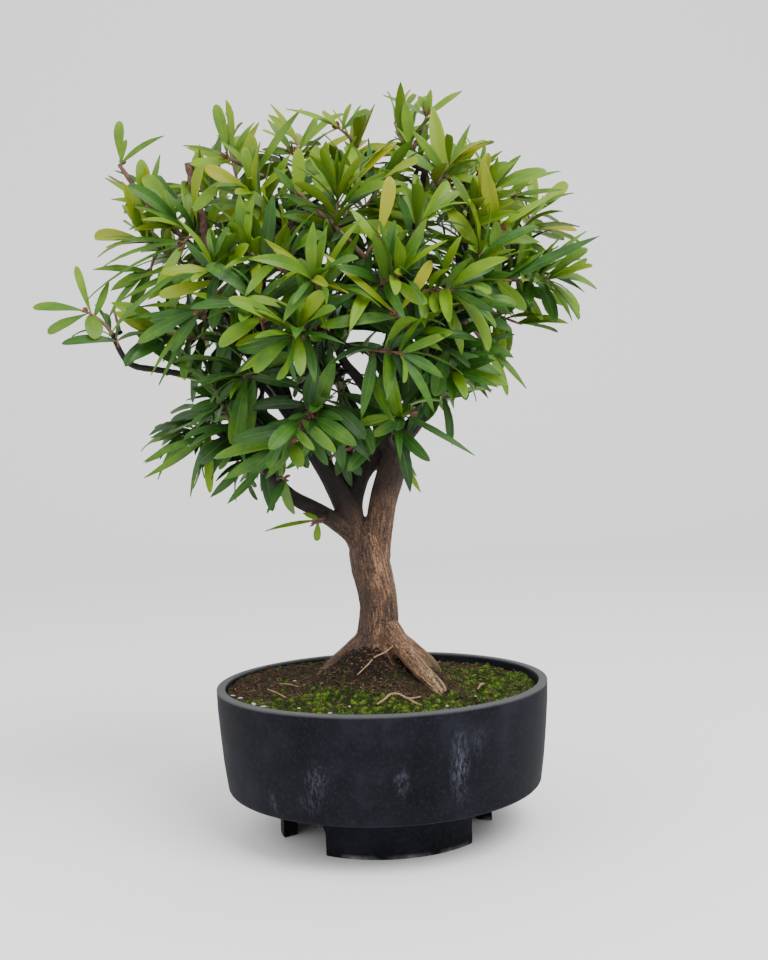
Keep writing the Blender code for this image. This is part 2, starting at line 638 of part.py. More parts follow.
def shoot_stems(twigs):
    """Each shoot's own stem, which goes on from the end of its twig."""
    stems = {}
    for name, (points, _) in twigs.items():
        along = (points[-1] - points[-2]).normalized()
        base = points[-1] + along * GAP
        tip = base + along * SHOOT_LENGTH * shoot_size(name)
        stems[name] = ([base, tip], [SHOOT_BASE_RADIUS, SHOOT_TIP_RADIUS])
    return stems


def stem_sides(axis):
    """Two cross directions of a straight stem."""
    side = axis.cross(Vector((0.3, 1, 0.2))).normalized()
    return side, axis.cross(side)


def shoot_mesh(points, radii, leaves):
    """A four-sided stem. At each pair's height a leaf grows out of two opposite faces, so all is one skin."""
    axis = (points[-1] - points[0]).normalized()
    length = (points[-1] - points[0]).length
    side, up = stem_sides(axis)
    vertices = []
    heights = [0.0]
    for station in PAIR_STATIONS:
        heights += [station * length - LEAF_BASE / 2, station * length + LEAF_BASE / 2]
    for height in heights:
        radius = radii[0] + (radii[1] - radii[0]) * height / length
        for k in range(4):
            turn = math.pi / 2 * k - math.pi / 4
            out = side * math.cos(turn) + up * math.sin(turn)
            vertices.append(points[0] + axis * height + out * radius)
    grown = {(1 + 2 * pair, face): shape for pair, face, shape in leaves}
    faces = [(3, 2, 1, 0)]
    for i in range(len(heights) - 1):
        for k in range(4):
            j = (k + 1) % 4
            quad = (4 * i + k, 4 * i + j, 4 * i + 4 + j, 4 * i + 4 + k)
            if (i, k) in grown:
                sprout_leaf(vertices, faces, quad, grown[i, k])
            else:
                faces.append(quad)
    last = 4 * (len(heights) - 1)
    faces.append((last, last + 1, last + 2, last + 3))
    return vertices, faces


def sprout_leaf(vertices, faces, quad, shape):
    """Grows a leaf out of an open quad of the stem, joined with the least twist."""
    rings, tip = leaf_rings(*shape)
    _, along, normal, *_ = shape
    across = along.cross(normal)
    wanted = (normal - across, -normal - across, across - normal, across + normal)
    middle = sum((vertices[v] for v in quad), Vector()) / 4

    def fit(shift):
        return sum((vertices[quad[(shift - k) % 4]] - middle).dot(wanted[k]) for k in range(4))

    shift = max(range(4), key=fit)
    add_blade(vertices, faces, [quad[(shift - k) % 4] for k in range(4)], rings, tip)


def make_shoots(stems, leaves, material):
    made = []
    for name, (points, radii) in stems.items():
        shoot = add_object("leafy_shoot_" + name, *shoot_mesh(points, radii, leaves[name]), material)
        smooth(shoot, 30.0)
        made.append(shoot)
    return made


BURIED = ["trunk"] + list(ROOTS)


def main():
    clear_scene()
    materials = {name: make_material(name) for name in COLOURS}
    twigs = grown_twigs(shoot_tips())
    stems = shoot_stems(twigs)
    wood = [tree_of(tube(*guide(rows), LIMB_SIDES)) for rows in LIMBS.values()]
    wood += [tree_of(tube(points, radii, TWIG_SIDES)) for points, radii in twigs.values()]
    leaves = placed_leaves(stems, wood)
    pieces = [
        make_pot(materials["pot_glaze"]),
        make_drainage_mesh(materials["mesh_plastic"]),
        make_soil(materials["soil"]),
        make_tree(twigs, materials["bark"]),
        *make_shoots(stems, leaves, materials["leaf"]),
    ]
    stand = bpy.data.objects.new("bonsai", None)
    bpy.context.scene.collection.objects.link(stand)
    stand.location = Vector((*POT_AXIS, 0.0)) * MM
    for piece in pieces:
        piece.parent = stand
    print(sum(len(found) for found in leaves.values()), "leaves on", len(stems), "shoots")


main()
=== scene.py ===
import math
import random

import bpy
from mathutils import Matrix, Vector, noise
from mathutils.bvhtree import BVHTree
from mathutils.kdtree import KDTree


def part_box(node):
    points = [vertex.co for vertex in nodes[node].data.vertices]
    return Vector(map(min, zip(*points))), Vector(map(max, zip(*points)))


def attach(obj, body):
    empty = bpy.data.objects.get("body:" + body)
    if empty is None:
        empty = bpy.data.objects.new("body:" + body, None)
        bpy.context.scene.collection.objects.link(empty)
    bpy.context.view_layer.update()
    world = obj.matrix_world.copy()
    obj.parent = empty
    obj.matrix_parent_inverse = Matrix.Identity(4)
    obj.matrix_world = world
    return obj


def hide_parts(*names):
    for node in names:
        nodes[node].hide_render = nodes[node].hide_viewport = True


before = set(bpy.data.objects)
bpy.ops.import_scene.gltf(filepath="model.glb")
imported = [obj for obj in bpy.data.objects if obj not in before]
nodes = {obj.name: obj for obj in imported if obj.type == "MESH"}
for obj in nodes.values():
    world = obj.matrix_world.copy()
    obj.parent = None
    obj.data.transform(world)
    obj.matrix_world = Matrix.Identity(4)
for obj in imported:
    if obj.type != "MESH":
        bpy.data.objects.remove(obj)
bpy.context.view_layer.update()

# Pomegranate bonsai in a dark round pot. Lengths below are millimetres from the pot's axis and its foot,
# and inPlace() brings them into the frame. Where a value says mm, it is in metres.
mm = 0.001
potLow, potHigh = [Vector(corner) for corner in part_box("pot")]
potAxis = Vector(((potLow.x + potHigh.x) / 2, (potLow.y + potHigh.y) / 2, 0.0))
toFrame = Matrix.Translation(potAxis) @ Matrix.Scale(mm, 4)


def inPlace(point):
    return Vector(point) * mm + potAxis


def newPiece(name, data):
    piece = bpy.data.objects.new(name, data)
    bpy.context.scene.collection.objects.link(piece)
    return piece


def addMesh(name, vertices, faces, *materials, smooth=True):
    mesh = bpy.data.meshes.new(name)
    mesh.from_pydata([Vector(v) for v in vertices], [], faces)
    mesh.transform(toFrame)
    for material in materials:
        mesh.materials.append(material)
    if smooth:
        mesh.shade_smooth()
    return newPiece(name, mesh)


def finished(piece, slot, *replaced):  # hands the piece to the frame
    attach(piece, "root")
    if replaced:
        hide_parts(*replaced)
    return piece


def applied(piece):  # turns the piece's modifiers into plain mesh
    graph = bpy.context.evaluated_depsgraph_get()
    mesh = bpy.data.meshes.new_from_object(piece.evaluated_get(graph))
    piece.modifiers.clear()
    piece.data = mesh
    return piece


def joined(name, shapes, *materials):  # one mesh from several (vertices, faces)
    vertices, faces = [], []
    for points, polygons in shapes:
        first = len(vertices)
        vertices += points
        faces += [tuple(first + v for v in polygon) for polygon in polygons]
    return addMesh(name, vertices, faces, *materials)


def placeTree(places):  # finds the nearest of these places
    tree = KDTree(len(places))
    for i, place in enumerate(places):
        tree.insert(place, i)
    tree.balance()
    return tree


def turns(sides):
    return [2 * math.pi * k / sides for k in range(sides)]


def skin(rings, sides):  # faces between rings of vertices that follow one another
    faces = []
    for first in range(0, (rings - 1) * sides, sides):
        for k in range(sides):
            this, after = first + k, first + (k + 1) % sides
            faces.append((this, after, after + sides, this + sides))
    return faces


def store(piece, name, values, kind="FLOAT", domain="POINT"):  # gives each corner or face its own measure
    field = "vector" if kind == "FLOAT_VECTOR" else "value"
    piece.data.attributes.new(name, kind, domain).data.foreach_set(field, values)


# Node trees


class Wire:  # a node's output that sums and products can be written with
    def __init__(self, tree, socket):
        self.tree, self.socket = tree, socket

    def isVector(self):
        return self.socket.type in ("VECTOR", "RGBA")

    def calc(self, operation, *others):
        kind = "ShaderNodeVectorMath" if self.isVector() else "ShaderNodeMath"
        return addNode(self.tree, kind, dict(enumerate((self, *others))), operation=operation)

    def axis(self, name):
        return addNode(self.tree, "ShaderNodeSeparateXYZ", {0: self}, name)

    def __add__(self, other):
        return self.calc("ADD", other)

    def __sub__(self, other):
        return self.calc("SUBTRACT", other)

    def __rsub__(self, number):
        return addNode(self.tree, "ShaderNodeMath", {0: number, 1: self}, operation="SUBTRACT")

    def __truediv__(self, other):
        return self.calc("DIVIDE", other)

    def __pow__(self, other):
        return self.calc("POWER", other)

    def __mul__(self, other):
        byNumber = isinstance(other, float) or isinstance(other, Wire) and not other.isVector()
        if self.isVector() and byNumber:
            return addNode(self.tree, "ShaderNodeVectorMath", {0: self, 3: other}, operation="SCALE")
        return self.calc("MULTIPLY", other)


def addNode(tree, kind, inputs=None, output=0, **settings):
    node = tree.nodes.new(kind)
    for name, value in settings.items():
        setattr(node, name, value)
    for key, value in (inputs or {}).items():
        if isinstance(value, Wire):
            tree.links.new(value.socket, node.inputs[key])
        else:
            node.inputs[key].default_value = value
    return Wire(tree, node.outputs[output])


def remap(value, fromMin, fromMax, toMin=0.0, toMax=1.0, smooth=False):
    return addNode(value.tree, "ShaderNodeMapRange", dict(enumerate((value, fromMin, fromMax, toMin, toMax))),
                   interpolation_type="SMOOTHSTEP" if smooth else "LINEAR")


def noiseOf(vector, scale, detail=4.0, roughness=0.55):
    inputs = {"Vector": vector, "Scale": scale, "Detail": detail, "Roughness": roughness}
    return addNode(vector.tree, "ShaderNodeTexNoise", inputs, "Fac")


def newNodes(name, **inputs):  # a Geometry Nodes tree with named inputs
    tree = bpy.data.node_groups.new(name, "GeometryNodeTree")
    for label, kind in {"Geometry": "Geometry", **inputs}.items():
        tree.interface.new_socket(label, in_out="INPUT", socket_type="NodeSocket" + kind)
    tree.interface.new_socket("Geometry", in_out="OUTPUT", socket_type="NodeSocketGeometry")
    given = tree.nodes.new("NodeGroupInput").outputs
    return tree, {socket.name: Wire(tree, socket) for socket in given if socket.name}


def stored(geometry, name, value, kind, domain):  # keeps a value as a measure on the geometry
    inputs = {"Geometry": geometry, "Name": name, "Value": value}
    return addNode(geometry.tree, "GeometryNodeStoreNamedAttribute", inputs, data_type=kind, domain=domain)


def endNodes(geometry, given):  # the tree ends in its material
    inputs = {"Geometry": geometry, "Material": given["Material"]}
    coloured = addNode(geometry.tree, "GeometryNodeSetMaterial", inputs)
    geometry.tree.links.new(coloured.socket, geometry.tree.nodes.new("NodeGroupOutput").inputs["Geometry"])
    return geometry.tree


def grow(piece, tree, **values):  # runs a Geometry Nodes tree on the piece and keeps the result
    modifier = piece.modifiers.new(tree.name, "NODES")
    modifier.node_group = tree
    for item in tree.interface.items_tree:
        if item.item_type == "SOCKET" and item.in_out == "INPUT" and item.name in values:
            modifier[item.identifier] = values[item.name]
    return applied(piece)


def attribute(tree, name, kind="FLOAT"):  # a stored measure, in Geometry Nodes
    return addNode(tree, "GeometryNodeInputNamedAttribute", {"Name": name}, "Attribute", data_type=kind)


# Materials


def newMaterial(name, roughness, specular=0.5):
    material = bpy.data.materials.new(name)
    material.use_nodes = True
    shader = material.node_tree.nodes["Principled BSDF"]
    shader.inputs["Roughness"].default_value = roughness
    shader.inputs["Specular IOR Level"].default_value = specular
    return material, material.node_tree


def coated(material, colour, roughness=None, height=None, strength=1.0, distance=mm):  # wires up the shader
    tree = material.node_tree
    wires = {"Base Color": colour, "Roughness": roughness}
    if height:
        relief = {"Height": height, "Strength": strength, "Distance": distance}
        wires["Normal"] = addNode(tree, "ShaderNodeBump", relief)
    for name, wire in wires.items():
        if wire:
            tree.links.new(wire.socket, tree.nodes["Principled BSDF"].inputs[name])
    return material


def objectPlace(tree, stretch=(1.0, 1.0, 1.0)):
    place = addNode(tree, "ShaderNodeTexCoord", output="Object")
    return addNode(tree, "ShaderNodeMapping", {"Vector": place, "Scale": stretch})


def painted(tree, name, output="Fac"):  # a stored measure, in a material
    return addNode(tree, "ShaderNodeAttribute", output=output, attribute_name=name)


def ramp(factor, *stops):
    colours = addNode(factor.tree, "ShaderNodeValToRGB", {0: factor})
    marks = colours.socket.node.color_ramp.elements
    while len(marks) < len(stops):
        marks.new(0.5)
    for mark, (place, colour) in zip(marks, stops):
        mark.position = place
        mark.color = (*colour, 1.0)
    return colours


def mixed(factor, first, second, blend="MIX"):
    inputs = {0: factor, 6: first, 7: (*second, 1.0) if isinstance(second, tuple) else second}
    return addNode(factor.tree, "ShaderNodeMix", inputs, 2, data_type="RGBA", blend_type=blend)


# Pot

potSettings = {
    "sides": 192, "rimRadius": 125.0, "rimHeight": 110.0, "wall": 6.5, "lip": 0.7, "bellyRadius": 123.0,
    "bellyHeight": 76.0, "lowWall": (121.1, 56.0), "highWall": (124.5, 95.0), "bodyRadius": 118.6,
    "bodyBottom": 34.4, "bodyCorner": 3.4, "floor": 41.5, "floorFillet": 6.0, "underside": 32.4,
    "footOuter": 80.5, "footInner": 69.0, "edge": 0.6, "drain": 12.0, "chamfer": 0.8,
    "archWidth": 53.0, "archHeight": 26.5, "archCorner": 13.0, "archDirections": (-51.5, 68.5, 188.5),
    "cloudScale": 26.0, "grainScale": 420.0, "brushScale": 520.0, "scuffRadius": 120, "sharpAngle": 40,
    "wornHeights": (0.1084, 0.1102), "limeHeights": (0.0035, 0.0002),
    "dark": (0.0030, 0.0031, 0.0046), "mid": (0.0066, 0.0068, 0.0098), "bloom": (0.016, 0.017, 0.025),
    "worn": (0.095, 0.096, 0.100), "scuff": (0.075, 0.082, 0.108), "lime": (0.20, 0.20, 0.205),
}
# Pale scuffs on the wall: degrees from the front to the right, height, width, reach up and down, strength
scuffs = [(24, 76, 7, 24, 1.0), (31, 88, 6, 12, 0.5), (5, 66, 5, 10, 0.75), (-22, 66, 9, 12, 0.55),
          (-25, 50, 10, 8, 0.3), (-43, 88, 3, 9, 0.45), (-52, 96, 3, 5, 0.4), (-40, 46, 4, 9, 0.45)]


def potMaterial(look):
    material, tree = newMaterial("slateClay", 0.55, 0.06)
    place = objectPlace(tree)
    cloud, grain = noiseOf(place, look["cloudScale"], 6.0, 0.62), noiseOf(place, look["grainScale"], 3.0)
    brushed = noiseOf(objectPlace(tree, (1.0, 1.0, 0.4)), look["brushScale"], 6.0, 0.75)
    colour = ramp(cloud, (0.30, look["dark"]), (0.52, look["mid"]), (0.78, look["bloom"]))
    colour = mixed(remap(grain, 0.50, 0.72, 0.0, 0.5), colour, look["bloom"])
    marks = 0.0
    for turn, height, width, reach, strength in scuffs:
        angle, radius = math.radians(turn), look["scuffRadius"]
        centre = inPlace((radius * math.sin(angle), -radius * math.cos(angle), height))
        away = (place - tuple(centre)) / (width * mm, width * mm, reach * mm)
        length = addNode(tree, "ShaderNodeVectorMath", {0: away}, "Value", operation="LENGTH")
        marks = remap(length, 0.15, 1.5, strength, 0.0, smooth=True) + marks
    colour = mixed(marks * remap(brushed, 0.45, 0.66), colour, look["scuff"])
    height = place.axis("Z")
    rubbed = remap(height + cloud * (0.8 * mm), *look["wornHeights"])
    colour = mixed(rubbed * 0.75, colour, look["worn"])
    crust = remap(height, *look["limeHeights"]) * remap(cloud, 0.46, 0.62)
    colour = mixed(crust, colour, look["lime"])
    return coated(material, colour, remap(cloud, 0.2, 0.8, 0.5, 0.75), grain + brushed, 0.12, 0.4 * mm)


def roundCorner(centre, radius, start, end, steps=5):  # points of an arc in the profile plane, by degrees
    angles = [math.radians(start + (end - start) * i / steps) for i in range(steps + 1)]
    return [(centre[0] + radius * math.cos(angle), centre[1] + radius * math.sin(angle)) for angle in angles]


def lathe(name, profile, sides, material):
    count = len(profile)
    vertices, faces = [], []
    for i, turn in enumerate(turns(sides)):
        vertices += [(r * math.cos(turn), r * math.sin(turn), z) for r, z in profile]
        this, after = i * count, (i + 1) % sides * count
        for j, k in zip(range(count), [*range(1, count), 0]):
            faces.append((this + j, after + j, after + k, this + k))
    return addMesh(name, vertices, faces, material)


def archCutter(p, direction, below=-3.0, inwards=15, outwards=8):
    half, corner = p["archWidth"] / 2, p["archCorner"]
    crown = p["archHeight"] - corner
    outline = [(-half, below)] + roundCorner((corner - half, crown), corner, 180, 90)
    outline += roundCorner((half - corner, crown), corner, 90, 0) + [(half, below)]
    count = len(outline)
    near, far = p["footInner"] - inwards, p["footOuter"] + outwards
    vertices = [(x, -near, z) for x, z in outline] + [(x, -far, z) for x, z in outline]
    turn = Matrix.Rotation(math.radians(direction), 3, "Z")
    faces = [tuple(range(count)), tuple(reversed(range(count, 2 * count)))]
    faces += [(i, i + count, (i + 1) % count + count, (i + 1) % count) for i in range(count)]
    return addMesh("archCutter", [turn @ Vector(v) for v in vertices], faces, smooth=False)


def makePot(p):
    inner, innerFloor = p["rimRadius"] - p["wall"], p["bodyRadius"] - p["wall"]
    corner, lip, fillet, edge, chamfer = p["bodyCorner"], p["lip"], p["floorFillet"], p["edge"], p["chamfer"]
    footIn, footOut, drain = p["footInner"], p["footOuter"], p["drain"]
    floor, bottom = p["floor"], p["bodyBottom"]
    profile = [(footIn, edge), (footIn + edge, 0.0), (footOut - edge, 0.0), (footOut, edge)]
    profile += [(footOut, bottom - 1.5), (footOut + chamfer, bottom - 0.3)]
    profile += roundCorner((p["bodyRadius"] - corner, bottom + corner), corner, -90, 0)
    profile += [p["lowWall"], (p["bellyRadius"], p["bellyHeight"]), p["highWall"]]
    profile += roundCorner((p["rimRadius"] - lip, p["rimHeight"] - lip), lip, 0, 90)
    profile += roundCorner((inner + lip, p["rimHeight"] - lip), lip, 90, 180)
    profile += roundCorner((innerFloor - fillet, floor + fillet), fillet, 0, -90)
    profile += [(drain + chamfer, floor), (drain, floor - chamfer), (drain, p["underside"] + chamfer)]
    profile += [(drain + chamfer, p["underside"]), (footIn, p["underside"])]
    pot = lathe("potBody", profile, p["sides"], potMaterial(p))
    for direction in p["archDirections"]:
        cutter = archCutter(p, direction)
        cut = pot.modifiers.new("arch", "BOOLEAN")
        cut.object, cut.operation, cut.solver = cutter, "DIFFERENCE", "MANIFOLD"
        applied(pot)
        bpy.data.objects.remove(cutter)
    pot.data.set_sharp_from_angle(angle=math.radians(p["sharpAngle"]))
    finished(pot, "pot_glaze", "pot")


makePot(potSettings)
print("pot made")


# Drainage mesh: the CAD plate stays, in black plastic

meshMaterial, meshTree = newMaterial("meshPlastic", 0.45)
meshGrain = noiseOf(objectPlace(meshTree), 600.0)
meshBlack = ramp(meshGrain, (0.3, (0.008, 0.008, 0.008)), (0.7, (0.02, 0.02, 0.02)))
nodes["drainage_mesh"].data.materials.clear()
nodes["drainage_mesh"].data.materials.append(coated(meshMaterial, meshBlack))


# Soil

soilSettings = {
    "edge": 103.5, "rise": 27.0, "spread": 43.0, "bank": 24.0, "bankSpread": 48, "edgeRise": 5.0,
    "radius": 117.6, "bottomRadius": 112.0, "bottom": 43.5, "rimDrop": 1.2, "rings": 96, "sides": 400,
    "coarseBump": 1.5, "fineBump": 0.8, "cushion": 2.6 * mm, "cushionsPerMetre": 210.0, "fuzz": 0.7 * mm,
    # The soil's darkening over its high mound round the trunk is painted shade.
    "crumbScale": 330.0, "patchScale": 45.0, "trunkShadeHeights": (0.110, 0.122),
    "dark": (0.005, 0.004, 0.003), "earth": (0.028, 0.018, 0.010), "tan": (0.120, 0.072, 0.036),
    # The moss's gap colour is painted shade between the cushions, and its top colour a painted highlight on
    # them.
    "mossGapShade": (0.010, 0.016, 0.003), "mossLow": (0.028, 0.056, 0.005), "mossTopHighlight": (0.095, 0.160, 0.010),
}
# Where moss is lush, and where the soil round the trunk is bare dark earth, a painted shadow of the trunk:
# strength, x, y, width, depth
lushPlaces = [(0.95, 5, -88, 75.0, 34.0), (0.85, 88, 8, 34.0, 60.0), (0.55, -68, -50, 32.0, 26.0)]
trunkShadowPlace = (0.6, 4, -8, 46.0, 46.0)


def soilHeight(x, y):
    s = soilSettings
    radius = math.hypot(x, y)
    mound = s["rise"] * math.exp(-((radius / s["spread"]) ** 2))
    hollows = 1.1 * math.sin(x / 13.0 + 0.7) * math.cos(y / 11.0) + 0.7 * math.sin((x + y) / 6.5)
    leftFront = max(0.0, (-0.85 * x - 0.5 * y) / (radius + 14))
    banked = s["bank"] * leftFront * math.exp(-((radius / s["bankSpread"]) ** 2))
    backLeft = max(0.0, (0.6 * y - 0.8 * x) / (radius + 1)) ** 2 * max(0.0, (radius - 70) / 48)
    return s["edge"] + mound + banked + s["edgeRise"] * backLeft + hollows * min(1.0, (118.5 - radius) / 20.0)


def swell(x, y, strength, middleX, middleY, width, depth):
    return strength * math.exp(-(((x - middleX) / width) ** 2 + ((y - middleY) / depth) ** 2))


def unevenness(x, y, width, layer):
    return noise.noise(Vector((x / width, y / width, layer)))


def mossAt(x, y):  # how mossy the soil is, from 0 to 1
    patches = unevenness(x, y, 22.0, 3.0) + 0.6 * unevenness(x, y, 8.0, 8.0)
    lush = sum(swell(x, y, *place) for place in lushPlaces)
    # Round the trunk the moss thins to dark earth: painted shadow of the trunk.
    return max(0.0, min(1.0, 0.10 + lush - swell(x, y, *trunkShadowPlace) + 0.75 * patches))


def roughSoil(x, y):
    s = soilSettings
    coarse = unevenness(x, y, 6.0, 0.0) * s["coarseBump"]
    fine = unevenness(x, y, 2.2, 5.0) * s["fineBump"]
    return soilHeight(x, y) + coarse + fine - 0.4


def soilMaterial(look):
    material, tree = newMaterial("soilEarth", 0.95, 0.15)
    place = objectPlace(tree)
    crumbs, patch = noiseOf(place, look["crumbScale"], 6.0, 0.7), noiseOf(place, look["patchScale"], 4.0)
    earth = ramp(crumbs, (0.34, look["dark"]), (0.55, look["earth"]), (0.76, look["tan"]))
    # The moss colour follows each cushion's height: dark in the gaps, which is painted shade, and bright on
    # the tops, which is painted highlight.
    top = painted(tree, "puff") + remap(crumbs, 0.35, 0.65, -0.25, 0.25)
    top = top + remap(patch, 0.35, 0.65, -0.15, 0.2)
    green = ramp(top, (0.15, look["mossGapShade"]), (0.45, look["mossLow"]), (0.95, look["mossTopHighlight"]))
    colour = mixed(remap(painted(tree, "mossiness"), 0.25, 0.5), earth, green)
    # Soil above the rim's height, on the mound round the trunk, darkens towards near-black: painted shade
    # under the trunk and crown.
    colour = mixed(remap(place.axis("Z"), *look["trunkShadeHeights"], 0.0, 0.75), colour, look["dark"])
    return coated(material, colour, None, crumbs, 0.8, 1.0 * mm)


def cushionNodes():  # swells the mossy soil into small cushions
    tree, given = newNodes("mossCushions", Height="Float", Scale="Float", Fuzz="Float", Material="Material")
    moss = remap(attribute(tree, "mossiness"), 0.2, 0.6, smooth=True)
    place = addNode(tree, "GeometryNodeInputPosition")
    jitter = addNode(tree, "ShaderNodeTexNoise", {"Vector": place, "Scale": 90.0}, "Color")
    cells = {"Vector": place + jitter * 0.012, "Scale": given["Scale"]}
    puff = remap(addNode(tree, "ShaderNodeTexVoronoi", cells, "Distance"), 0.75, 0.1, smooth=True)
    fuzz = (noiseOf(place, 800.0, 3.0, 0.7) - 0.5) * given["Fuzz"]
    up = addNode(tree, "ShaderNodeCombineXYZ", {2: (puff * given["Height"] + fuzz) * moss})
    moved = addNode(tree, "GeometryNodeSetPosition", {"Geometry": given["Geometry"], "Offset": up})
    return endNodes(stored(moved, "puff", puff, "FLOAT", "POINT"), given)


def makeSoil(s):
    sides = s["sides"]
    radii = [s["radius"] * (1 - i / s["rings"]) for i in range(s["rings"])]
    bottom = s["bottomRadius"]
    vertices = [(bottom * math.cos(a), bottom * math.sin(a), s["bottom"]) for a in turns(sides)]
    for i, radius in enumerate(radii):
        drop = 0.0 if i else s["rimDrop"]
        spots = [(radius * math.cos(a), radius * math.sin(a)) for a in turns(sides)]
        vertices += [(x, y, roughSoil(x, y) - drop) for x, y in spots]
    top = len(radii) * sides
    vertices.append((0.0, 0.0, roughSoil(0, 0)))
    faces = [tuple(reversed(range(sides)))] + skin(len(radii) + 1, sides)
    faces += [(top + k, top + (k + 1) % sides, len(vertices) - 1) for k in range(sides)]
    soil = addMesh("soilSurface", vertices, faces)
    values = [mossAt(v[0], v[1]) if v[2] > s["bottom"] + 1 else 0.0 for v in vertices]
    store(soil, "mossiness", values)
    grow(soil, cushionNodes(), Height=s["cushion"], Scale=s["cushionsPerMetre"], Fuzz=s["fuzz"],
         Material=soilMaterial(s))
    soil.data.shade_smooth()
    return soil


soil = makeSoil(soilSettings)
print("soil made")


# What is scattered on the soil: moss tufts, crumbs and thin root threads. "bare" is the mossiness where none
# lies, "finish" the material's name, roughness and scale, and "colours" run from its gaps to its tops.

mossSettings = {"density": 430000.0, "small": 0.6 * mm, "large": 1.35 * mm, "seed": 4, "bare": 0.0,
                "finish": ("mossGreen", 0.8, 75.0),
                "colours": ((0.005, 0.014, 0.002), (0.040, 0.088, 0.005), (0.175, 0.240, 0.014))}
crumbSettings = {"density": 90000.0, "small": 0.35 * mm, "large": 1.5 * mm, "seed": 9, "bare": 1.15,
                 "finish": ("crumbBrown", 0.9, 160.0),
                 "colours": ((0.010, 0.006, 0.004), (0.062, 0.032, 0.017), (0.30, 0.19, 0.11))}
threadSettings = {"density": 60000.0, "small": 3.0 * mm, "large": 8.0 * mm, "seed": 21, "bare": 0.9,
                  "finish": ("threadBrown", 0.85, 120.0),
                  "colours": ((0.018, 0.009, 0.005), (0.066, 0.035, 0.019), (0.17, 0.11, 0.062))}


def scatterNodes():
    tree, given = newNodes("scatterOnSoil", Copy="Object", Density="Float", Small="Float", Large="Float",
                           Seed="Int", Bare="Float", Material="Material")
    seed = given["Seed"]
    amount = (attribute(tree, "mossiness") - given["Bare"]).calc("ABSOLUTE")
    upwards = addNode(tree, "GeometryNodeInputNormal").axis("Z").calc("GREATER_THAN", 0.3)
    density = given["Density"] * amount * upwards
    points = addNode(tree, "GeometryNodeDistributePointsOnFaces",
                     {"Mesh": given["Geometry"], "Density": density, "Seed": seed}, "Points")
    spin = addNode(tree, "FunctionNodeRandomValue",
                   {0: (-0.5, -0.5, -3.14), 1: (0.5, 0.5, 3.14), "Seed": seed}, data_type="FLOAT_VECTOR")
    size = addNode(tree, "FunctionNodeRandomValue",
                   {2: given["Small"], 3: given["Large"], "Seed": seed + 1.0}, 1, data_type="FLOAT")
    copy = addNode(tree, "GeometryNodeObjectInfo", {"Object": given["Copy"]}, "Geometry")
    placed = addNode(tree, "GeometryNodeInstanceOnPoints",
                     {"Points": points, "Instance": copy, "Rotation": spin, "Scale": size})
    return endNodes(addNode(tree, "GeometryNodeRealizeInstances", {0: placed}), given)


def unitPiece(name, vertices, faces):  # a small shape of size 1 to be copied, which isn't shown
    mesh = bpy.data.meshes.new(name)
    mesh.from_pydata(vertices, [], faces)
    piece = newPiece(name, mesh)
    piece.hide_render = True
    return piece


def mossTuft(spikes=5, footRadius=0.28, spikeRadius=0.17):  # a few leaning spikes
    draw = random.Random(2)
    vertices, faces = [], []
    for k in range(spikes):
        angle = 2 * math.pi * k / spikes + draw.uniform(-0.3, 0.3)
        foot = Vector((footRadius * math.cos(angle), footRadius * math.sin(angle), -0.25))
        foot *= 1.0 if k else 0.2
        tip = foot * draw.uniform(1.4, 2.2) + Vector((0, 0, draw.uniform(0.75, 1.15)))
        first = len(vertices)
        vertices += [foot + Vector((spikeRadius * math.cos(angle + a), spikeRadius * math.sin(angle + a), 0))
                     for a in turns(3)] + [tip]
        faces.append((first + 2, first + 1, first))
        faces += [(first + j, first + (j + 1) % 3, first + 3) for j in range(3)]
    return unitPiece("mossTuft", vertices, faces)


def crumb():  # an uneven lump with eight corners
    draw = random.Random(5)
    corners = [Vector((x, y, z)) * draw.uniform(0.6, 1.1)
               for x in (-0.6, 0.6) for y in (-0.45, 0.45) for z in (-0.35, 0.35)]
    faces = [(0, 1, 3, 2), (4, 6, 7, 5), (0, 4, 5, 1), (2, 3, 7, 6), (0, 2, 6, 4), (1, 5, 7, 3)]
    return unitPiece("crumb", corners, faces)


def fibre(radius=0.05):  # a thin bent thread, lying
    points = [(-0.5, 0.0, 0.0), (-0.2, 0.07, 0.03), (0.15, 0.03, 0.05), (0.5, -0.12, 0.02)]
    ring = [Vector((0, radius * math.cos(a), radius * math.sin(a))) for a in turns(3)]
    vertices = [Vector(point) + away for point in points for away in ring]
    return unitPiece("fibre", vertices, [(0, 2, 1), (9, 10, 11)] + skin(4, 3))


def speckled(name, roughness, scale, colours):
    material, tree = newMaterial(name, roughness, 0.2)
    place = objectPlace(tree)
    blend = noiseOf(place, scale, 3.0) * 0.5 + noiseOf(place, scale * 7, 2.0) * 0.5
    return coated(material, ramp(blend, *zip((0.38, 0.52, 0.66), colours)))


scatter = scatterNodes()
for name, copy, s in (("mossTufts", mossTuft(), mossSettings), ("soilCrumbs", crumb(), crumbSettings),
                      ("rootThreads", fibre(), threadSettings)):
    piece = newPiece(name, soil.data.copy())
    grow(piece, scatter, Copy=copy, Density=s["density"], Small=s["small"], Large=s["large"], Seed=s["seed"],
         Bare=s["bare"], Material=speckled(*s["finish"], s["colours"]))
    bpy.data.objects.remove(copy)
    finished(piece, "soil")
finished(soil, "soil", "soil")
print("moss and crumbs scattered")


# Wood. The twigs leave from these guides, and the shoots end at the tips: x, y, z and a limb's radius.

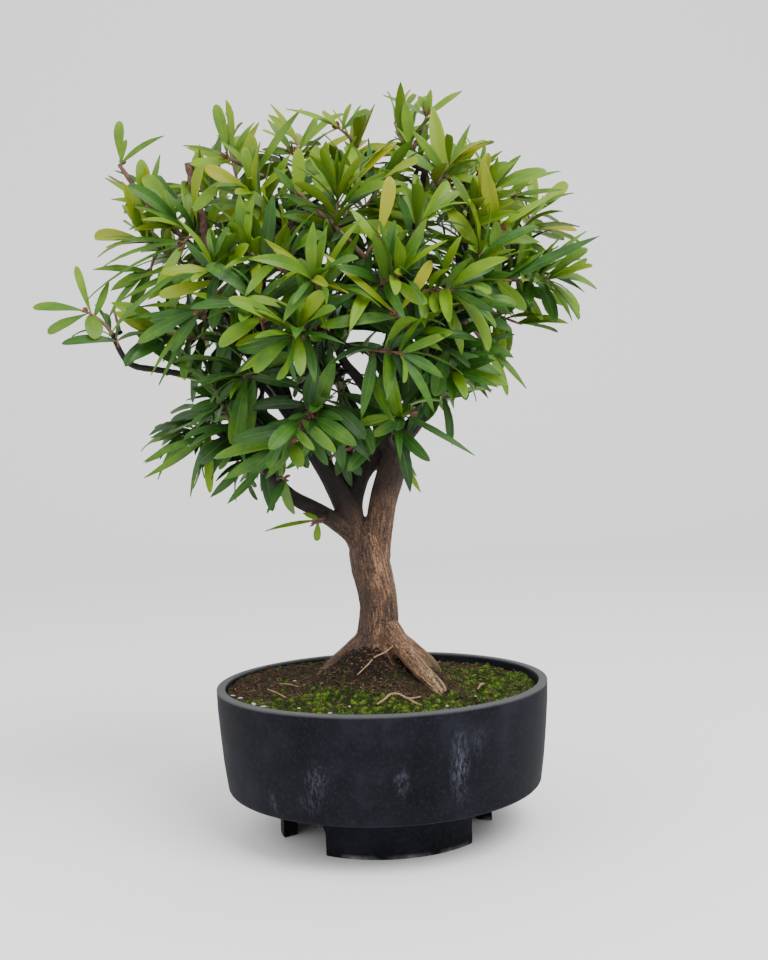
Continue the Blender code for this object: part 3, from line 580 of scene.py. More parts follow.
limbs = {
    "trunk": [(-4, 4, 104, 21), (-3, 4, 122, 19), (-2, 4, 139, 15.6), (0, 2, 166, 13.8), (-4, 0, 194, 13.4),
        (-6, 0, 213, 14.2), (-7, 0, 224, 12.0)],
    "left_limb": [(-4, 0, 203, 9.0), (-11, 0, 216, 9.8), (-21, -2, 238, 8.6), (-34, -4, 265, 6.8),
        (-52, -8, 297, 5.8), (-64, -10, 317, 5.3), (-81, -14, 341, 4.3)],
    "right_limb": [(-3, 0, 203, 9.0), (-2, 0, 222, 10.2), (4, -2, 247, 9.8), (10, -2, 263, 9.6),
        (17, 0, 283, 9.2), (21, 2, 298, 8.0)],
    "long_left": [(-77, -13, 336, 3.2), (-96, -20, 338, 2.6), (-125, -30, 342, 2.3), (-153, -40, 347, 2.2),
        (-174, -45, 352, 2.1), (-185, -45, 371, 1.8)],
    "upper_left": [(-79, -14, 338, 3.6), (-95, -10, 367, 3.4), (-110, 0, 395, 3.2), (-123, 4, 419, 3.0),
        (-126, 4, 446, 2.6), (-129, 8, 469, 2.2)],
    "left_inner": [(-61, -9, 312, 3.8), (-72, 20, 350, 3.4), (-81, 30, 390, 3.2), (-84, 30, 422, 2.8),
        (-72, 20, 453, 2.4), (-51, 5, 469, 2.0)],
    "middle_limb": [(-15, -1, 222, 6.5), (-18, 3, 243, 6.6), (-13, 9, 262, 6.4), (-7, 16, 281, 6.0),
        (-11, 32, 306, 4.6), (-22, 48, 331, 4.0), (-34, 62, 361, 3.6), (-43, 72, 399, 3.2),
        (-50, 78, 437, 2.8), (-56, 78, 475, 2.2)],
    "back_limb": [(-8, 15, 276, 5.0), (9, 40, 309, 4.4), (19, 60, 342, 4.0), (26, 76, 385, 3.6),
        (32, 86, 428, 3.0), (31, 86, 466, 2.4)],
    "leader": [(20, 2, 292, 6.6), (10, 0, 321, 5.8), (12, -5, 348, 5.4), (17, -12, 374, 4.4),
        (24, -18, 403, 3.8), (32, -20, 436, 3.2), (39, -20, 469, 2.6), (45, -16, 496, 2.0)],
    "front_limb": [(11, 0, 318, 4.0), (-1, -6, 326, 3.6), (-11, -18, 339, 3.4), (-22, -34, 353, 3.0),
        (-26, -50, 374, 2.8), (-29, -62, 398, 2.4), (-25, -70, 416, 2.0)],
    "right_arm": [(20, 2, 292, 6.4), (36, 10, 312, 5.6), (42, 15, 342, 5.0), (50, 20, 366, 4.4),
        (66, 20, 388, 3.8), (86, 18, 407, 3.2), (103, 12, 425, 2.6)],
    "right_front": [(42, 14, 342, 3.6), (55, -15, 369, 3.2), (67, -40, 378, 2.8), (76, -60, 382, 2.2)],
    "right_back": [(41, 14, 336, 3.8), (62, 50, 369, 3.2), (83, 80, 396, 2.8), (99, 100, 424, 2.2)],
    "right_top": [(63, 20, 384, 3.2), (70, 8, 420, 2.8), (76, 0, 451, 2.4), (82, -4, 479, 2.0)],
    "low_left": [(-17, -2, 222, 6.5), (-34, -10, 238, 5.2), (-48, -14, 248, 4.6), (-64, -20, 256, 4.2),
        (-76, -24, 268, 3.8), (-90, -28, 283, 3.2), (-105, -34, 295, 2.6), (-117, -40, 304, 2.2)],
    "cut_stub": [(-78, -13, 337, 4.0), (-81, -17, 362, 5.0), (-85, -24, 388, 7.0), (-88, -30, 417, 9.0)],
}
# Limbs and roots as they are drawn, where the bark shows more than the guides do
drawnLimbs = {
    "trunk": [(-4, 4, 104, 20), (-3, 4, 122, 18.2), (-2, 4, 139, 14.6), (0, 2, 166, 12.8),
        (-4.5, 0, 194, 13.4), (-7, 0, 208, 13.2), (-7.5, 0, 220, 10.6), (-8, 0, 229, 6.5)],
    "left_limb": [(-4, 0, 203, 9.0), (-13, 0, 216, 9.6), (-21, -2, 238, 8.6), (-34, -4, 265, 6.8),
        (-52, -8, 297, 5.8), (-64, -10, 317, 5.3), (-81, -14, 341, 4.3)],
    "right_limb": [(-1, 0, 203, 10.0), (1, 0, 222, 9.6), (5.5, -2, 247, 9.8), (10.5, -2, 263, 9.9),
        (17, 0, 283, 9.4), (21, 2, 298, 8.2)],
    "low_left": [(-17, -2, 220, 6.8), (-34, -10, 234, 5.6), (-48, -14, 243, 5.0), (-64, -20, 253, 4.4),
        (-76, -24, 267, 3.8), (-90, -28, 283, 3.2), (-105, -34, 295, 2.6), (-117, -40, 304, 2.2)],
    "front_right": [(2, 0, 158, 7.2), (14, -10, 139, 7.0), (25, -22, 125, 5.6), (34, -32, 116, 5.0),
        (41, -39, 109, 4.6), (44, -42, 105, 3.4)],
    "over_the_eye": [(-15, 5, 256, 5.0), (-8, 8, 270, 5.8), (0, 10, 281, 6.6), (6, 13, 300, 6.2),
        (8, 18, 315, 5.0)],
    "behind_the_fork": [(-20, 8, 248, 5.0), (-24, 14, 272, 5.4), (-20, 24, 300, 4.6)],
    "beside_leader": [(12, 2, 288, 7.5), (4, 2, 312, 6.8), (-4, -2, 335, 4.6)],
}
roots = {
    "front_right": [(2, 0, 158, 7.5), (14, -10, 139, 7.8), (25, -22, 125, 6.8), (34, -32, 116, 6.6),
        (41, -39, 108, 6.2)],
    "back_right": [(4, 8, 146, 7.5), (20, 14, 130, 8.2), (33, 20, 118, 7.6), (42, 25, 106, 5.6)],
    "left": [(-8, 4, 142, 8.5), (-22, 4, 130, 8.0), (-36, 2, 120, 6.2), (-50, -2, 107, 4.4)],
    "front_left": [(-8, -2, 138, 8.0), (-18, -14, 126, 6.6), (-29, -27, 116, 5.0), (-37, -38, 105, 3.6)],
    "back_left": [(-6, 10, 140, 8.0), (-18, 22, 126, 6.6), (-29, 34, 115, 5.0), (-37, 43, 104, 3.6)],
}
seenShoots = {
    "far_left": (-213, -46, 387), "left": (-165, -12, 449), "top_left_tip": (-188, 10, 508),
    "left_front_high": (-139, -34, 462), "top_left": (-113, 12, 516), "top_left_front": (-79, -30, 489),
    "left_front": (-113, -68, 419), "left_low_front": (-150, -30, 380), "crest_left": (-54, 22, 534),
    "crest": (-16, -6, 523), "crest_front": (6, -58, 482), "summit": (46, -10, 533),
    "crest_right": (64, -30, 495), "right_high": (98, 14, 500), "right_front_high": (96, -46, 455),
    "right_shoulder": (140, 20, 462), "right_front": (95, -58, 404), "right_tip": (137, -4, 426),
    "right_low": (118, 18, 396), "face_right": (48, -96, 407), "face_middle": (10, -104, 408),
    "face_high": (-18, -92, 454), "face_left_high": (-61, -92, 427), "face_left": (-42, -112, 375),
    "face_centre": (7, -112, 359), "face_far_left": (-88, -94, 377), "face_low_right": (51, -86, 367),
    "right_drooping": (80, -46, 350), "low_centre": (27, -62, 310), "low_left_front": (-54, -78, 292),
    "low_left_middle": (-102, -66, 339), "low_left_outer": (-146, -26, 313), "low_left_tip": (-131, -46, 289),
    "low_left_inner": (-94, -26, 283), "low_face": (-31, -85, 318), "fork_sprig": (-52, -40, 238),
    "behind_trunk": (24, 36, 268), "low_left_back": (-90, 40, 273), "low_right": (74, -24, 352),
    "right_back": (108, 98, 450), "low_left_side": (-108, -50, 302), "face_top": (-9, -72, 474),
    "face_upper_right": (34, -84, 436), "face_inner": (-30, -104, 408), "top_left_inner": (-122, 24, 496),
}
# Shoots that don't point simply outwards, and shoots smaller than the rest
shootLeans = {
    "top_left_tip": (-0.45, 0.05, 0.85), "far_left": (-0.87, -0.27, 0.3), "summit": (0.35, 0.0, 0.9),
    "low_left_front": (-0.4, -0.35, -0.8), "low_centre": (0.45, -0.8, 0.45),
    "low_left_outer": (-0.85, -0.3, -0.2), "low_left_tip": (-0.8, -0.3, -0.45),
    "low_left_inner": (-0.55, -0.35, -0.5), "low_left_back": (-0.35, 0.3, -0.5),
    "right_drooping": (0.7, -0.3, -0.2), "right_low": (0.9, 0.1, 0.1), "low_left_side": (-0.7, -0.4, -0.6),
    "low_right": (0.8, -0.1, 0.25), "behind_trunk": (0.85, 0.0, -0.1), "fork_sprig": (-0.9, -0.2, 0.3),
}
shootSizes = {"fork_sprig": 0.4, "behind_trunk": 0.7, "top_left_tip": 0.6, "low_centre": 0.9}
bareShoots = ("top_left_tip", "far_left", "fork_sprig", "behind_trunk")  # their leaves come with the sprigs
crownSettings = {
    "backShoots": 8, "heart": Vector((-40.0, 8.0, 380.0)), "radii": Vector((135.0, 128.0, 128.0)),
    "backFrom": 52.0, "aboveLow": 40, "draws": 300, "seed": 17, "low": 240.0, "high": 530.0,
    "twigPoints": 4, "twigTip": 1.3, "twigRoom": 9.0, "shootLength": 34.0, "shootBase": 1.3, "shootTip": 0.9,
    "gap": 0.3, "pairStations": (0.15, 0.38, 0.59, 0.77, 0.94), "leafWidths": (0.25, 0.28, 0.29),
    "smallLeafWidth": 0.31, "light": Vector((0.1, -0.8, 0.75)), "moreLeaves": 20, "tipLeaves": 3,
    "leafTurns": (0, 14, -14, 28, -28, 42, -42, 56, -56), "moreTurns": range(0, 360, 45), "pastBox": 5 * mm,
    "spread": 78, "closer": 38, "spreadPlay": 12, "length": 54, "shorter": 12, "lengthPlay": (0.78, 1.2),
    "bendPlay": (0.3, 1.4), "tiltLow": -0.12, "tiltRise": 0.45, "tiltPlay": 0.12, "turnPlay": 0.25,
    "tipStation": 0.97, "tipLength": (26, 44), "tipSpread": (14, 42), "moreStations": (0.08, 0.95),
    "moreLength": (32, 54), "moreSpread": 80, "moreCloser": 42,
}


def turnedFrames(points):  # along, side and up at each point, turned as little as possible
    frames, side = [], None
    for i in range(len(points)):
        along = (points[min(i + 1, len(points) - 1)] - points[max(i - 1, 0)]).normalized()
        side = side or along.cross(Vector((0, 1, 0.001))).normalized()
        side = (side - along * side.dot(along)).normalized()
        frames.append((along, side, along.cross(side)))
    return frames


def tube(points, radii, sides, lobes=0, lobeDepth=0.0):
    vertices = []
    for point, radius, (_, side, up) in zip(points, radii, turnedFrames(points)):
        for turn in turns(sides):
            reach = radius * (1 + lobeDepth * math.cos(lobes * turn + 0.5))
            vertices.append(point + (side * math.cos(turn) + up * math.sin(turn)) * reach)
    last = (len(points) - 1) * sides
    ends = [tuple(reversed(range(sides))), tuple(range(last, last + sides))]
    return vertices, ends[:1] + skin(len(points), sides) + ends[1:]


def smoothed(rows, step):  # a soft curve through the guide's points, with its radius
    points = [Vector(row[:3]) for row in rows]
    radii = [row[3] for row in rows]
    fine, fineRadii, padded = [], [], [points[0], *points, points[-1]]
    for i in range(len(points) - 1):
        before, a, b, after = padded[i:i + 4]
        count = max(1, round((b - a).length / step))
        for k in range(count):
            t = k / count
            bow = (b - before) * 0.5 * (t * (1 - t) ** 2) - (after - a) * 0.5 * (t * t * (1 - t))
            fine.append(a.lerp(b, t * t * (3 - 2 * t)) + bow)
            fineRadii.append(radii[i] + (radii[i + 1] - radii[i]) * t)
    return fine + [points[-1]], fineRadii + [radii[-1]]


def shootTips(c):  # the shoots that are seen, and a few behind, each as far from the others as it can be
    tips = [(name, Vector(tip)) for name, tip in seenShoots.items()]
    draw = random.Random(c["seed"])
    for number in range(c["backShoots"]):
        best, bestRoom = None, -1.0
        for _ in range(c["draws"]):
            ray = Vector([draw.gauss(0, 1) for _ in range(3)]).normalized()
            tip = c["heart"] + Vector([a * b for a, b in zip(ray, c["radii"])]) * draw.uniform(0.86, 1.0)
            if tip.y < c["heart"].y + c["backFrom"] or tip.z < c["low"] + c["aboveLow"]:
                continue
            room = min((tip - other).length for _, other in tips)
            if room > bestRoom:
                best, bestRoom = tip, room
        tips.append((f"back_{number + 1:02d}", best))
    return tips


def shareOfHeight(point):
    low, high = crownSettings["low"], crownSettings["high"]
    return min(1.0, max(0.0, (point.z - low) / (high - low)))


def shootDirection(name, tip):
    if name in shootLeans:
        return Vector(shootLeans[name]).normalized()
    out = tip - crownSettings["heart"]
    out.z *= 0.6
    return (out.normalized() + Vector((0, 0, 0.1 + 0.4 * shareOfHeight(tip)))).normalized()


def bezier(controls, t):
    a, b, c, d = controls
    u = 1 - t
    return a * u**3 + b * 3 * u * u * t + c * 3 * u * t * t + d * t**3


def twigPath(c, twig, count):
    controls, thick = twig
    points = [bezier(controls, i / (count - 1)) for i in range(count)]
    return points, [thick + (c["twigTip"] - thick) * i / (count - 1) for i in range(count)]


def grownTwigs(c, tips):  # for each shoot, the curve's controls and foot radius of the twig that carries it
    wood = []  # places where a twig may start: point, direction, radius
    for rows in [rows for name, rows in limbs.items() if name != "trunk"]:
        for a, b in zip(rows[1:], rows[2:]):
            start, end = Vector(a[:3]), Vector(b[:3])
            steps, along = max(2, int((end - start).length / 6)), (end - start).normalized()
            for s in range(steps + 1):
                wood.append((start.lerp(end, s / steps), along, a[3] + (b[3] - a[3]) * s / steps))
    shoots = []
    for name, tip in tips:
        direction = shootDirection(name, tip)
        base = tip - direction * c["shootLength"] * shootSizes.get(name, 1.0)
        shoots.append((min((base - w[0]).length for w in wood), name, base, direction))
    twigs = {}
    for _, name, base, direction in sorted(shoots, key=lambda row: row[0]):
        def cost(piece):
            reach = base - piece[0]
            length = max(reach.length, 1.0)
            return length * (1.7 - 0.5 * reach.dot(piece[1]) / length - 0.35 * reach.dot(direction) / length)
        point, along, parentRadius = min((w for w in wood if (base - w[0]).length > c["twigRoom"]), key=cost)
        length = (base - point).length
        leave = (along + (base - point).normalized() * 0.8).normalized()
        controls = (point, point + leave * length * 0.38, base - direction * length * 0.34, base)
        thick = max(c["twigTip"] + 0.15, min(0.72 * parentRadius, c["twigTip"] + 0.1 + length / 70.0))
        twigs[name] = (controls, thick)
        points, radii = twigPath(c, twigs[name], c["twigPoints"])
        wood += [(a, (b - a).normalized(), radius) for a, b, radius in zip(points[1:], points[2:], radii[1:])]
    return {name: twigs[name] for name, _ in tips}


twigs = grownTwigs(crownSettings, shootTips(crownSettings))


def shootAxis(c, name):  # start and end of a shoot's straight stem
    points, _ = twigPath(c, twigs[name], c["twigPoints"])
    along = (points[-1] - points[-2]).normalized()
    base = points[-1] + along * c["gap"]
    return base, base + along * c["shootLength"] * shootSizes.get(name, 1.0)


woodSettings = {
    "voxel": 1.15 * mm, "step": 3.0, "smoothing": 9, "trunkSides": 28, "limbSides": 14, "twigSides": 8,
    "lobes": 5, "lobeDepth": 0.07, "fullerTrunk": 1.5, "fullerLimb": 1.0, "knot": 1.16, "knotEvery": 3,
    "furrow": 2.3 * mm, "furrowHigh": 0.45 * mm, "swell": 1.3 * mm, "limbSpacing": 40.0,
    "fissureScale": 560.0, "flakeScale": 900.0, "patchScale": 55.0, "furrowScale": 210.0,
    "shadeHeights": (0.240, 0.272), "stainHeights": (0.141, 0.122), "rootHeights": (0.150, 0.128),
    "lean": 0.35,
    "dark": (0.016, 0.009, 0.006), "brown": (0.096, 0.048, 0.026), "tan": (0.325, 0.180, 0.095),
    "shade": (0.115, 0.095, 0.10), "mossy": (0.055, 0.062, 0.014), "rootTan": (0.40, 0.27, 0.135),
    "leftShade": (0.36, 0.33, 0.34), "soilStain": (0.030, 0.020, 0.011),
}


def storeGrain(piece, paths, spacing):  # each corner's place in its own limb: two ways across, and along
    rows = []
    for number, (points, radii) in enumerate(paths):
        reach = 0.0
        for i, (along, side, up) in enumerate(turnedFrames(points)):
            reach += (points[i] - points[i - 1]).length if i else 0.0
            rows.append((points[i], radii[i], along, side, up, reach, number))
    tree = placeTree([row[0] for row in rows])
    back = toFrame.inverted()
    values = []
    for vertex in piece.data.vertices:
        place = back @ vertex.co
        _, i, _ = min(tree.find_n(place, 10), key=lambda found: found[2] / rows[found[1]][1])
        point, _, along, side, up, reach, number = rows[i]
        away = place - point
        grain = (away.dot(side) + spacing * number, away.dot(up), reach + away.dot(along))
        values += [value * mm for value in grain]
    store(piece, "grain", values, "FLOAT_VECTOR")


def barkMaterial(look):
    material, tree = newMaterial("bark", 0.85)
    place, grain = objectPlace(tree), painted(tree, "grain", "Vector")
    fissure = noiseOf(grain * (1.0, 1.0, 0.16), look["fissureScale"], 6.0, 0.66)
    flake = noiseOf(grain * (1.0, 1.0, 0.65), look["flakeScale"], 4.0, 0.6)
    patch = noiseOf(grain * (1.0, 1.0, 0.4), look["patchScale"], 3.0)
    blend = fissure * 0.55 + flake * 0.45 + remap(patch, 0.3, 0.7, -0.06, 0.08)
    colour = ramp(blend, (0.39, look["dark"]), (0.50, look["brown"]), (0.64, look["tan"]))
    x, height, lean = place.axis("X"), place.axis("Z") + patch * 0.03, look["lean"]
    leftward = (potAxis.x - 0.002) - x
    leftSide = remap(leftward, -0.001, 0.009, 0.0, 0.85, smooth=True)
    colour = mixed(leftSide, colour, look["leftShade"], "MULTIPLY")
    colour = mixed(remap(height + leftward * lean, *look["shadeHeights"]), colour, look["shade"], "MULTIPLY")
    stainFrom, stainFull = [potAxis.x * lean + edge for edge in look["stainHeights"]]
    stained = remap(height + x * lean, stainFrom, stainFull, 0.0, 0.85, smooth=True)
    colour = mixed(stained * remap(flake, 0.66, 0.42), colour, look["soilStain"])
    low, right = remap(height, *look["rootHeights"]), remap(x, potAxis.x + 0.018, potAxis.x + 0.034)
    back = remap(place.axis("Y"), potAxis.y - 0.012, potAxis.y + 0.004)
    colour = mixed(low * back * remap(flake, 0.42, 0.58) * 0.85, colour, look["mossy"])
    bare = right * (low * remap(back, 1.0, 0.0))
    colour = mixed(bare * remap(blend, 0.42, 0.55, 0.0, 0.7), colour, look["rootTan"])
    return coated(material, colour, None, blend, 1.0, 1.8 * mm)


def barkNodes(w):  # presses furrows into the wood's surface, deep low down and shallow on thin limbs
    tree, given = newNodes("barkRelief", LowDepth="Float", HighDepth="Float", Swell="Float",
                           Material="Material")
    place = addNode(tree, "GeometryNodeInputPosition")
    height = place.axis("Z")
    grain = attribute(tree, "grain", "FLOAT_VECTOR") * (1.0, 1.0, 0.14)
    furrow, lump = noiseOf(grain, w["furrowScale"], 3.0, 0.6) - 0.5, noiseOf(place, 45.0, 2.0) - 0.5
    depth = given["LowDepth"] + remap(height, 0.21, 0.27) * (given["HighDepth"] - given["LowDepth"])
    lift = furrow * depth + lump * (given["Swell"] * remap(height, 0.30, 0.20, 0.3, 1.0))
    pressed = {"Geometry": given["Geometry"], "Offset": addNode(tree, "GeometryNodeInputNormal") * lift}
    return endNodes(addNode(tree, "GeometryNodeSetPosition", pressed), given)


def makeWood(w):
    shapes, paths = [], []
    for name, rows in {**limbs, **roots, **drawnLimbs}.items():
        points, radii = smoothed(rows, w["step"])
        if name == "trunk":
            radii = [radius + w["fullerTrunk"] for radius in radii]
            shapes.append(tube(points, radii, w["trunkSides"], w["lobes"], w["lobeDepth"]))
        else:
            radii = [radius + w["fullerLimb"] * min(1.0, radius / 5) for radius in radii]
            shapes.append(tube(points, radii, w["limbSides"]))
        paths.append((points, radii))
    wood = joined("trunkAndLimbs", shapes)
    remesh = wood.modifiers.new("oneSkin", "REMESH")
    remesh.mode, remesh.voxel_size, remesh.use_smooth_shade = "VOXEL", w["voxel"], True
    soften = wood.modifiers.new("softForks", "SMOOTH")
    soften.factor, soften.iterations = 0.5, w["smoothing"]
    applied(wood)
    storeGrain(wood, paths, w["limbSpacing"])
    bark = barkMaterial(w)
    grow(wood, barkNodes(w), LowDepth=w["furrow"], HighDepth=w["furrowHigh"], Swell=w["swell"], Material=bark)
    wood.data.shade_smooth()
    finished(wood, "bark", "trunk_and_branches")
    shapes = []
    for twig in twigs.values():
        points, radii = twigPath(crownSettings, twig, 12)
        radii = [radius * (1.0 if i % w["knotEvery"] else w["knot"]) for i, radius in enumerate(radii)]
        shapes.append(tube(points, radii, w["twigSides"]))
    finished(joined("twigs", shapes, bark), "bark", "trunk_and_branches")


makeWood(woodSettings)
print("wood made")


# Leaves. Each leaf is a point that carries its own measures, and Geometry Nodes grow the blade from them.

leafSettings = {
    "rows": (0.0, 0.06, 0.16, 0.30, 0.45, 0.60, 0.75, 0.88, 0.96), "topColumns": (-1.0, -0.5, 0.0, 0.5, 1.0),
    "topRise": (0.0, 2.4, 0.6, 2.4, 0.0), "underRise": -1.6, "thickness": 0.20 * mm, "petiole": 0.5 * mm,
    "ripples": 13.0, "veins": 15.0, "veinSlant": -2.0, "ribDepth": 0.7, "marginAngle": 80,
    # The leaf tint darkens leaves low down and near the crown's heart, which is painted shade; top leaves get
    # yellower, partly their own young colour and partly painted light; the rest is the leaves' own tone.
    "tintFoot": 0.04, "heightToneAndShade": 0.50, "tintShare": 0.12, "crownHeartShade": 0.34, "tintPlay": 0.11,
    "crownReach": 130.0, "newShare": 0.18, "newTint": (0.18, 0.34), "roll": 0.45,
    "deep": (0.004, 0.022, 0.005), "green": (0.022, 0.090, 0.005), "fresh": (0.125, 0.230, 0.001),
    "new": (0.215, 0.220, 0.000), "rib": (0.20, 0.30, 0.04), "under": (0.09, 0.17, 0.02),
    "stemDark": (0.06, 0.028, 0.02), "stemRed": (0.150, 0.070, 0.050), "stemGreen": (0.16, 0.18, 0.05),
    "bract": (0.200, 0.085, 0.055),
}
# How a leaf's half width runs from its foot (0) to its tip (1): t ** foot * (1 - t ** round) ** point,
# then its share of the planned width
leafForms = {"spoon": (1.00, 3.2, 0.55, 0.86), "oblong": (0.62, 2.5, 0.62, 0.80),
             "lance": (0.75, 1.6, 1.0, 0.74), "sickle": (0.62, 1.9, 1.1, 0.52)}
leafPlay = {"leafFold": (0.10, 0.50), "leafTwist": (-0.7, 0.7), "leafCurl": (-0.10, 0.10),
            "leafNod": (-0.02, 0.06), "leafWave": (0.0, 0.12), "leafPhase": (0, 6.3)}
leafMeasures = ("leafLength", "leafBend", "leafWidth", "leafFoot", "leafRound", "leafPoint", *leafPlay,
                "leafTint")
leafVectors = ("leafBase", "leafAlong", "leafNormal")
bladeMeasures = ("bladeAlong", "bladeAcross", "bladeSide")


def leafMaterial(look):
    material, tree = newMaterial("leafGreen", 0.4, 0.29)
    uv = addNode(tree, "ShaderNodeUVMap", uv_map="UVMap")
    across, along = (uv.axis("X") * 2.0 - 1.0).calc("ABSOLUTE"), uv.axis("Y")
    cloud = noiseOf(objectPlace(tree), 75.0, 4.0)
    # The stored leaf tint holds painted shade for low and inner leaves as well as each leaf's own tone.
    shade = painted(tree, "leafTint") + remap(cloud, 0.3, 0.7, -0.09, 0.09) + (along - 0.5) * 0.10
    colour = ramp(shade, (0.05, look["deep"]), (0.36, look["green"]), (0.68, look["fresh"]),
                  (1.0, look["new"]))
    slant = along * look["veins"] + across * look["veinSlant"]
    vein = remap((slant * math.pi).calc("SINE").calc("ABSOLUTE"), 0.25, 0.0, smooth=True)
    rib = remap(across, 0.085, 0.02, smooth=True)
    colour = mixed(rib * 0.26 + vein * 0.07, colour, look["rib"])
    colour = mixed(painted(tree, "leafUnder") * 0.45, colour, look["under"])
    colour = mixed(remap(along, 0.12, 0.02) * 0.6, colour, look["stemRed"])
    relief = cloud * 0.6 - vein * 0.35 - rib * look["ribDepth"]
    return coated(material, colour, remap(cloud, 0.3, 0.7, 0.38, 0.54), relief, 0.5, 0.35 * mm)


def stemMaterial(look):
    material, tree = newMaterial("youngStem", 0.55)
    place = objectPlace(tree)
    grain = noiseOf(place, 260.0, 3.0)
    blend = remap(place.axis("Z"), 0.25, 0.55, 0.0, 0.45) + grain * 0.6
    colour = ramp(blend, (0.3, look["stemDark"]), (0.55, look["stemRed"]), (0.95, look["stemGreen"]))
    return coated(material, colour, None, grain, 0.3, 0.3 * mm)


def leafPattern(s):  # a closed blade whose corners carry their place along it, across it and through it
    rows, top = s["rows"], s["topColumns"]
    vertices, faces, under = [], [], []
    for t in rows:
        vertices += [(t, u, rise) for u, rise in zip(top, s["topRise"])] + [(t, 0.0, s["underRise"])]
    width, tip = len(top) + 1, len(vertices)
    vertices.append((1.0, 0.0, 0.0))
    for i in range(len(rows)):
        a, b = i * width, (i + 1) * width
        for k in range(width):
            j = (k + 1) % width
            faces.append((a + k, a + j, b + j, b + k) if i < len(rows) - 1 else (a + k, a + j, tip))
            under.append(float(k > width - 3))
    faces.append((0, *range(width - 1, 0, -1)))
    under.append(1.0)
    pattern = unitPiece("leafPattern", [(0.0, 0.0, 0.0)] * len(vertices), faces)
    for name, values in zip(bladeMeasures, zip(*vertices)):
        store(pattern, name, values)
    store(pattern, "leafUnder", under, domain="FACE")
    return pattern


def leafNodes(s):
    tree, given = newNodes("growLeaves", Pattern="Object", Thickness="Float", Petiole="Float",
                           Material="Material")
    pattern = addNode(tree, "GeometryNodeObjectInfo", {"Object": given["Pattern"]}, "Geometry")
    placed = addNode(tree, "GeometryNodeInstanceOnPoints", {"Points": given["Geometry"], "Instance": pattern})
    real = addNode(tree, "GeometryNodeRealizeInstances", {0: placed})
    t, u, side = [attribute(tree, name) for name in bladeMeasures]
    m = {name: attribute(tree, name) for name in leafMeasures}
    base, along, normal = [attribute(tree, name, "FLOAT_VECTOR") for name in leafVectors]
    across = along.calc("CROSS_PRODUCT", normal)
    turn, twist = m["leafBend"] * t, m["leafTwist"] * t
    sinTurn, cosTurn = turn.calc("SINE"), turn.calc("COSINE")
    sinTwist, cosTwist = twist.calc("SINE"), twist.calc("COSINE")
    reach = m["leafLength"] / m["leafBend"]
    drop = reach * (cosTurn - 1.0) - m["leafNod"] * m["leafLength"] * t ** 4.0
    sickle = m["leafCurl"] * m["leafLength"] * (t * t)
    centre = base + along * (reach * sinTurn) + normal * drop + across * sickle
    lift = normal * cosTurn + along * sinTurn
    wide, face = across * cosTwist + lift * sinTwist, lift * cosTwist - across * sinTwist
    rounding = (1.0 - t ** m["leafRound"]).calc("MAXIMUM", 0.0)
    share = t ** m["leafFoot"] * rounding ** m["leafPoint"]
    sideways = u * (m["leafWidth"] * share).calc("MAXIMUM", given["Petiole"])
    ripple = (t * s["ripples"] + (m["leafPhase"] + u)).calc("SINE")
    rise = (m["leafFold"] + ripple * m["leafWave"]) * sideways.calc("ABSOLUTE") + side * given["Thickness"]
    place = centre + wide * sideways + face * rise
    grown = addNode(tree, "GeometryNodeSetPosition", {"Geometry": real, "Position": place})
    uv = addNode(tree, "ShaderNodeCombineXYZ", {0: u.calc("MULTIPLY_ADD", 0.5, 0.5), 1: t})
    return endNodes(stored(grown, "UVMap", uv, "FLOAT2", "CORNER"), given)


leafGreen, youngStem = leafMaterial(leafSettings), stemMaterial(leafSettings)
bractRed = speckled("bractRed", 0.6, 200.0, [leafSettings[name] for name in ("stemRed", "bract", "bract")])
pattern, leafTree = leafPattern(leafSettings), leafNodes(leafSettings)


def grownLeaves(name, leaves, material):  # a leaf's base is in millimetres, its other lengths are in metres
    mesh = bpy.data.meshes.new(name)
    mesh.from_pydata([inPlace(leaf["leafBase"]) for leaf in leaves], [], [])
    piece = newPiece(name, mesh)
    for label in leafMeasures:
        store(piece, label, [leaf[label] for leaf in leaves])
    for label in leafVectors:
        vectors = [inPlace(leaf[label]) if label == "leafBase" else leaf[label] for leaf in leaves]
        store(piece, label, [value for vector in vectors for value in vector], "FLOAT_VECTOR")
    s = leafSettings
    grow(piece, leafTree, Pattern=pattern, Thickness=s["thickness"], Petiole=s["petiole"], Material=material)
    for label in leafMeasures + leafVectors + bladeMeasures:
        if label != "leafTint" and label in piece.data.attributes:
            piece.data.attributes.remove(piece.data.attributes[label])
    piece.data.shade_smooth()
    piece.data.set_sharp_from_angle(angle=math.radians(s["marginAngle"]))  # the margins stay crisp
    return piece


def arcPoint(base, along, normal, length, bend, t=1.0):
    turn = bend * t
    return base + along * (length * math.sin(turn) / bend) - normal * (length * (1 - math.cos(turn)) / bend)


def stemSides(axis):
    side = axis.cross(Vector((0.3, 1, 0.2))).normalized()
    return side, axis.cross(side)


def leafPlan(c, start, end, size, draw):  # where each leaf of a shoot would like to be, in opposite pairs
    axis = (end - start).normalized()
    side, up = stemSides(axis)
    height, last, play = shareOfHeight(end), len(c["pairStations"]) - 1, c["spreadPlay"]
    plan = []
    for k, station in enumerate(c["pairStations"]):
        share = k / last
        for j in range(2):
            plan.append({
                "at": start.lerp(end, station), "axis": axis, "side": side, "up": up,
                "round": math.pi / 2 * (k + 2 * j) + draw.uniform(-c["turnPlay"], c["turnPlay"]),
                "spread": math.radians(c["spread"] - c["closer"] * share + draw.uniform(-play, play)),
                "tilt": c["tiltLow"] + c["tiltRise"] * height + draw.uniform(-c["tiltPlay"], c["tiltPlay"]),
                "length": (c["length"] - c["shorter"] * share) * draw.uniform(*c["lengthPlay"]) * size,
                "bend": (0.85 - 0.4 * height) * draw.uniform(*c["bendPlay"]),
                "ratio": c["smallLeafWidth"] if k == last else c["leafWidths"][draw.randrange(3)],
                "share": share, "height": height,
            })
    return plan


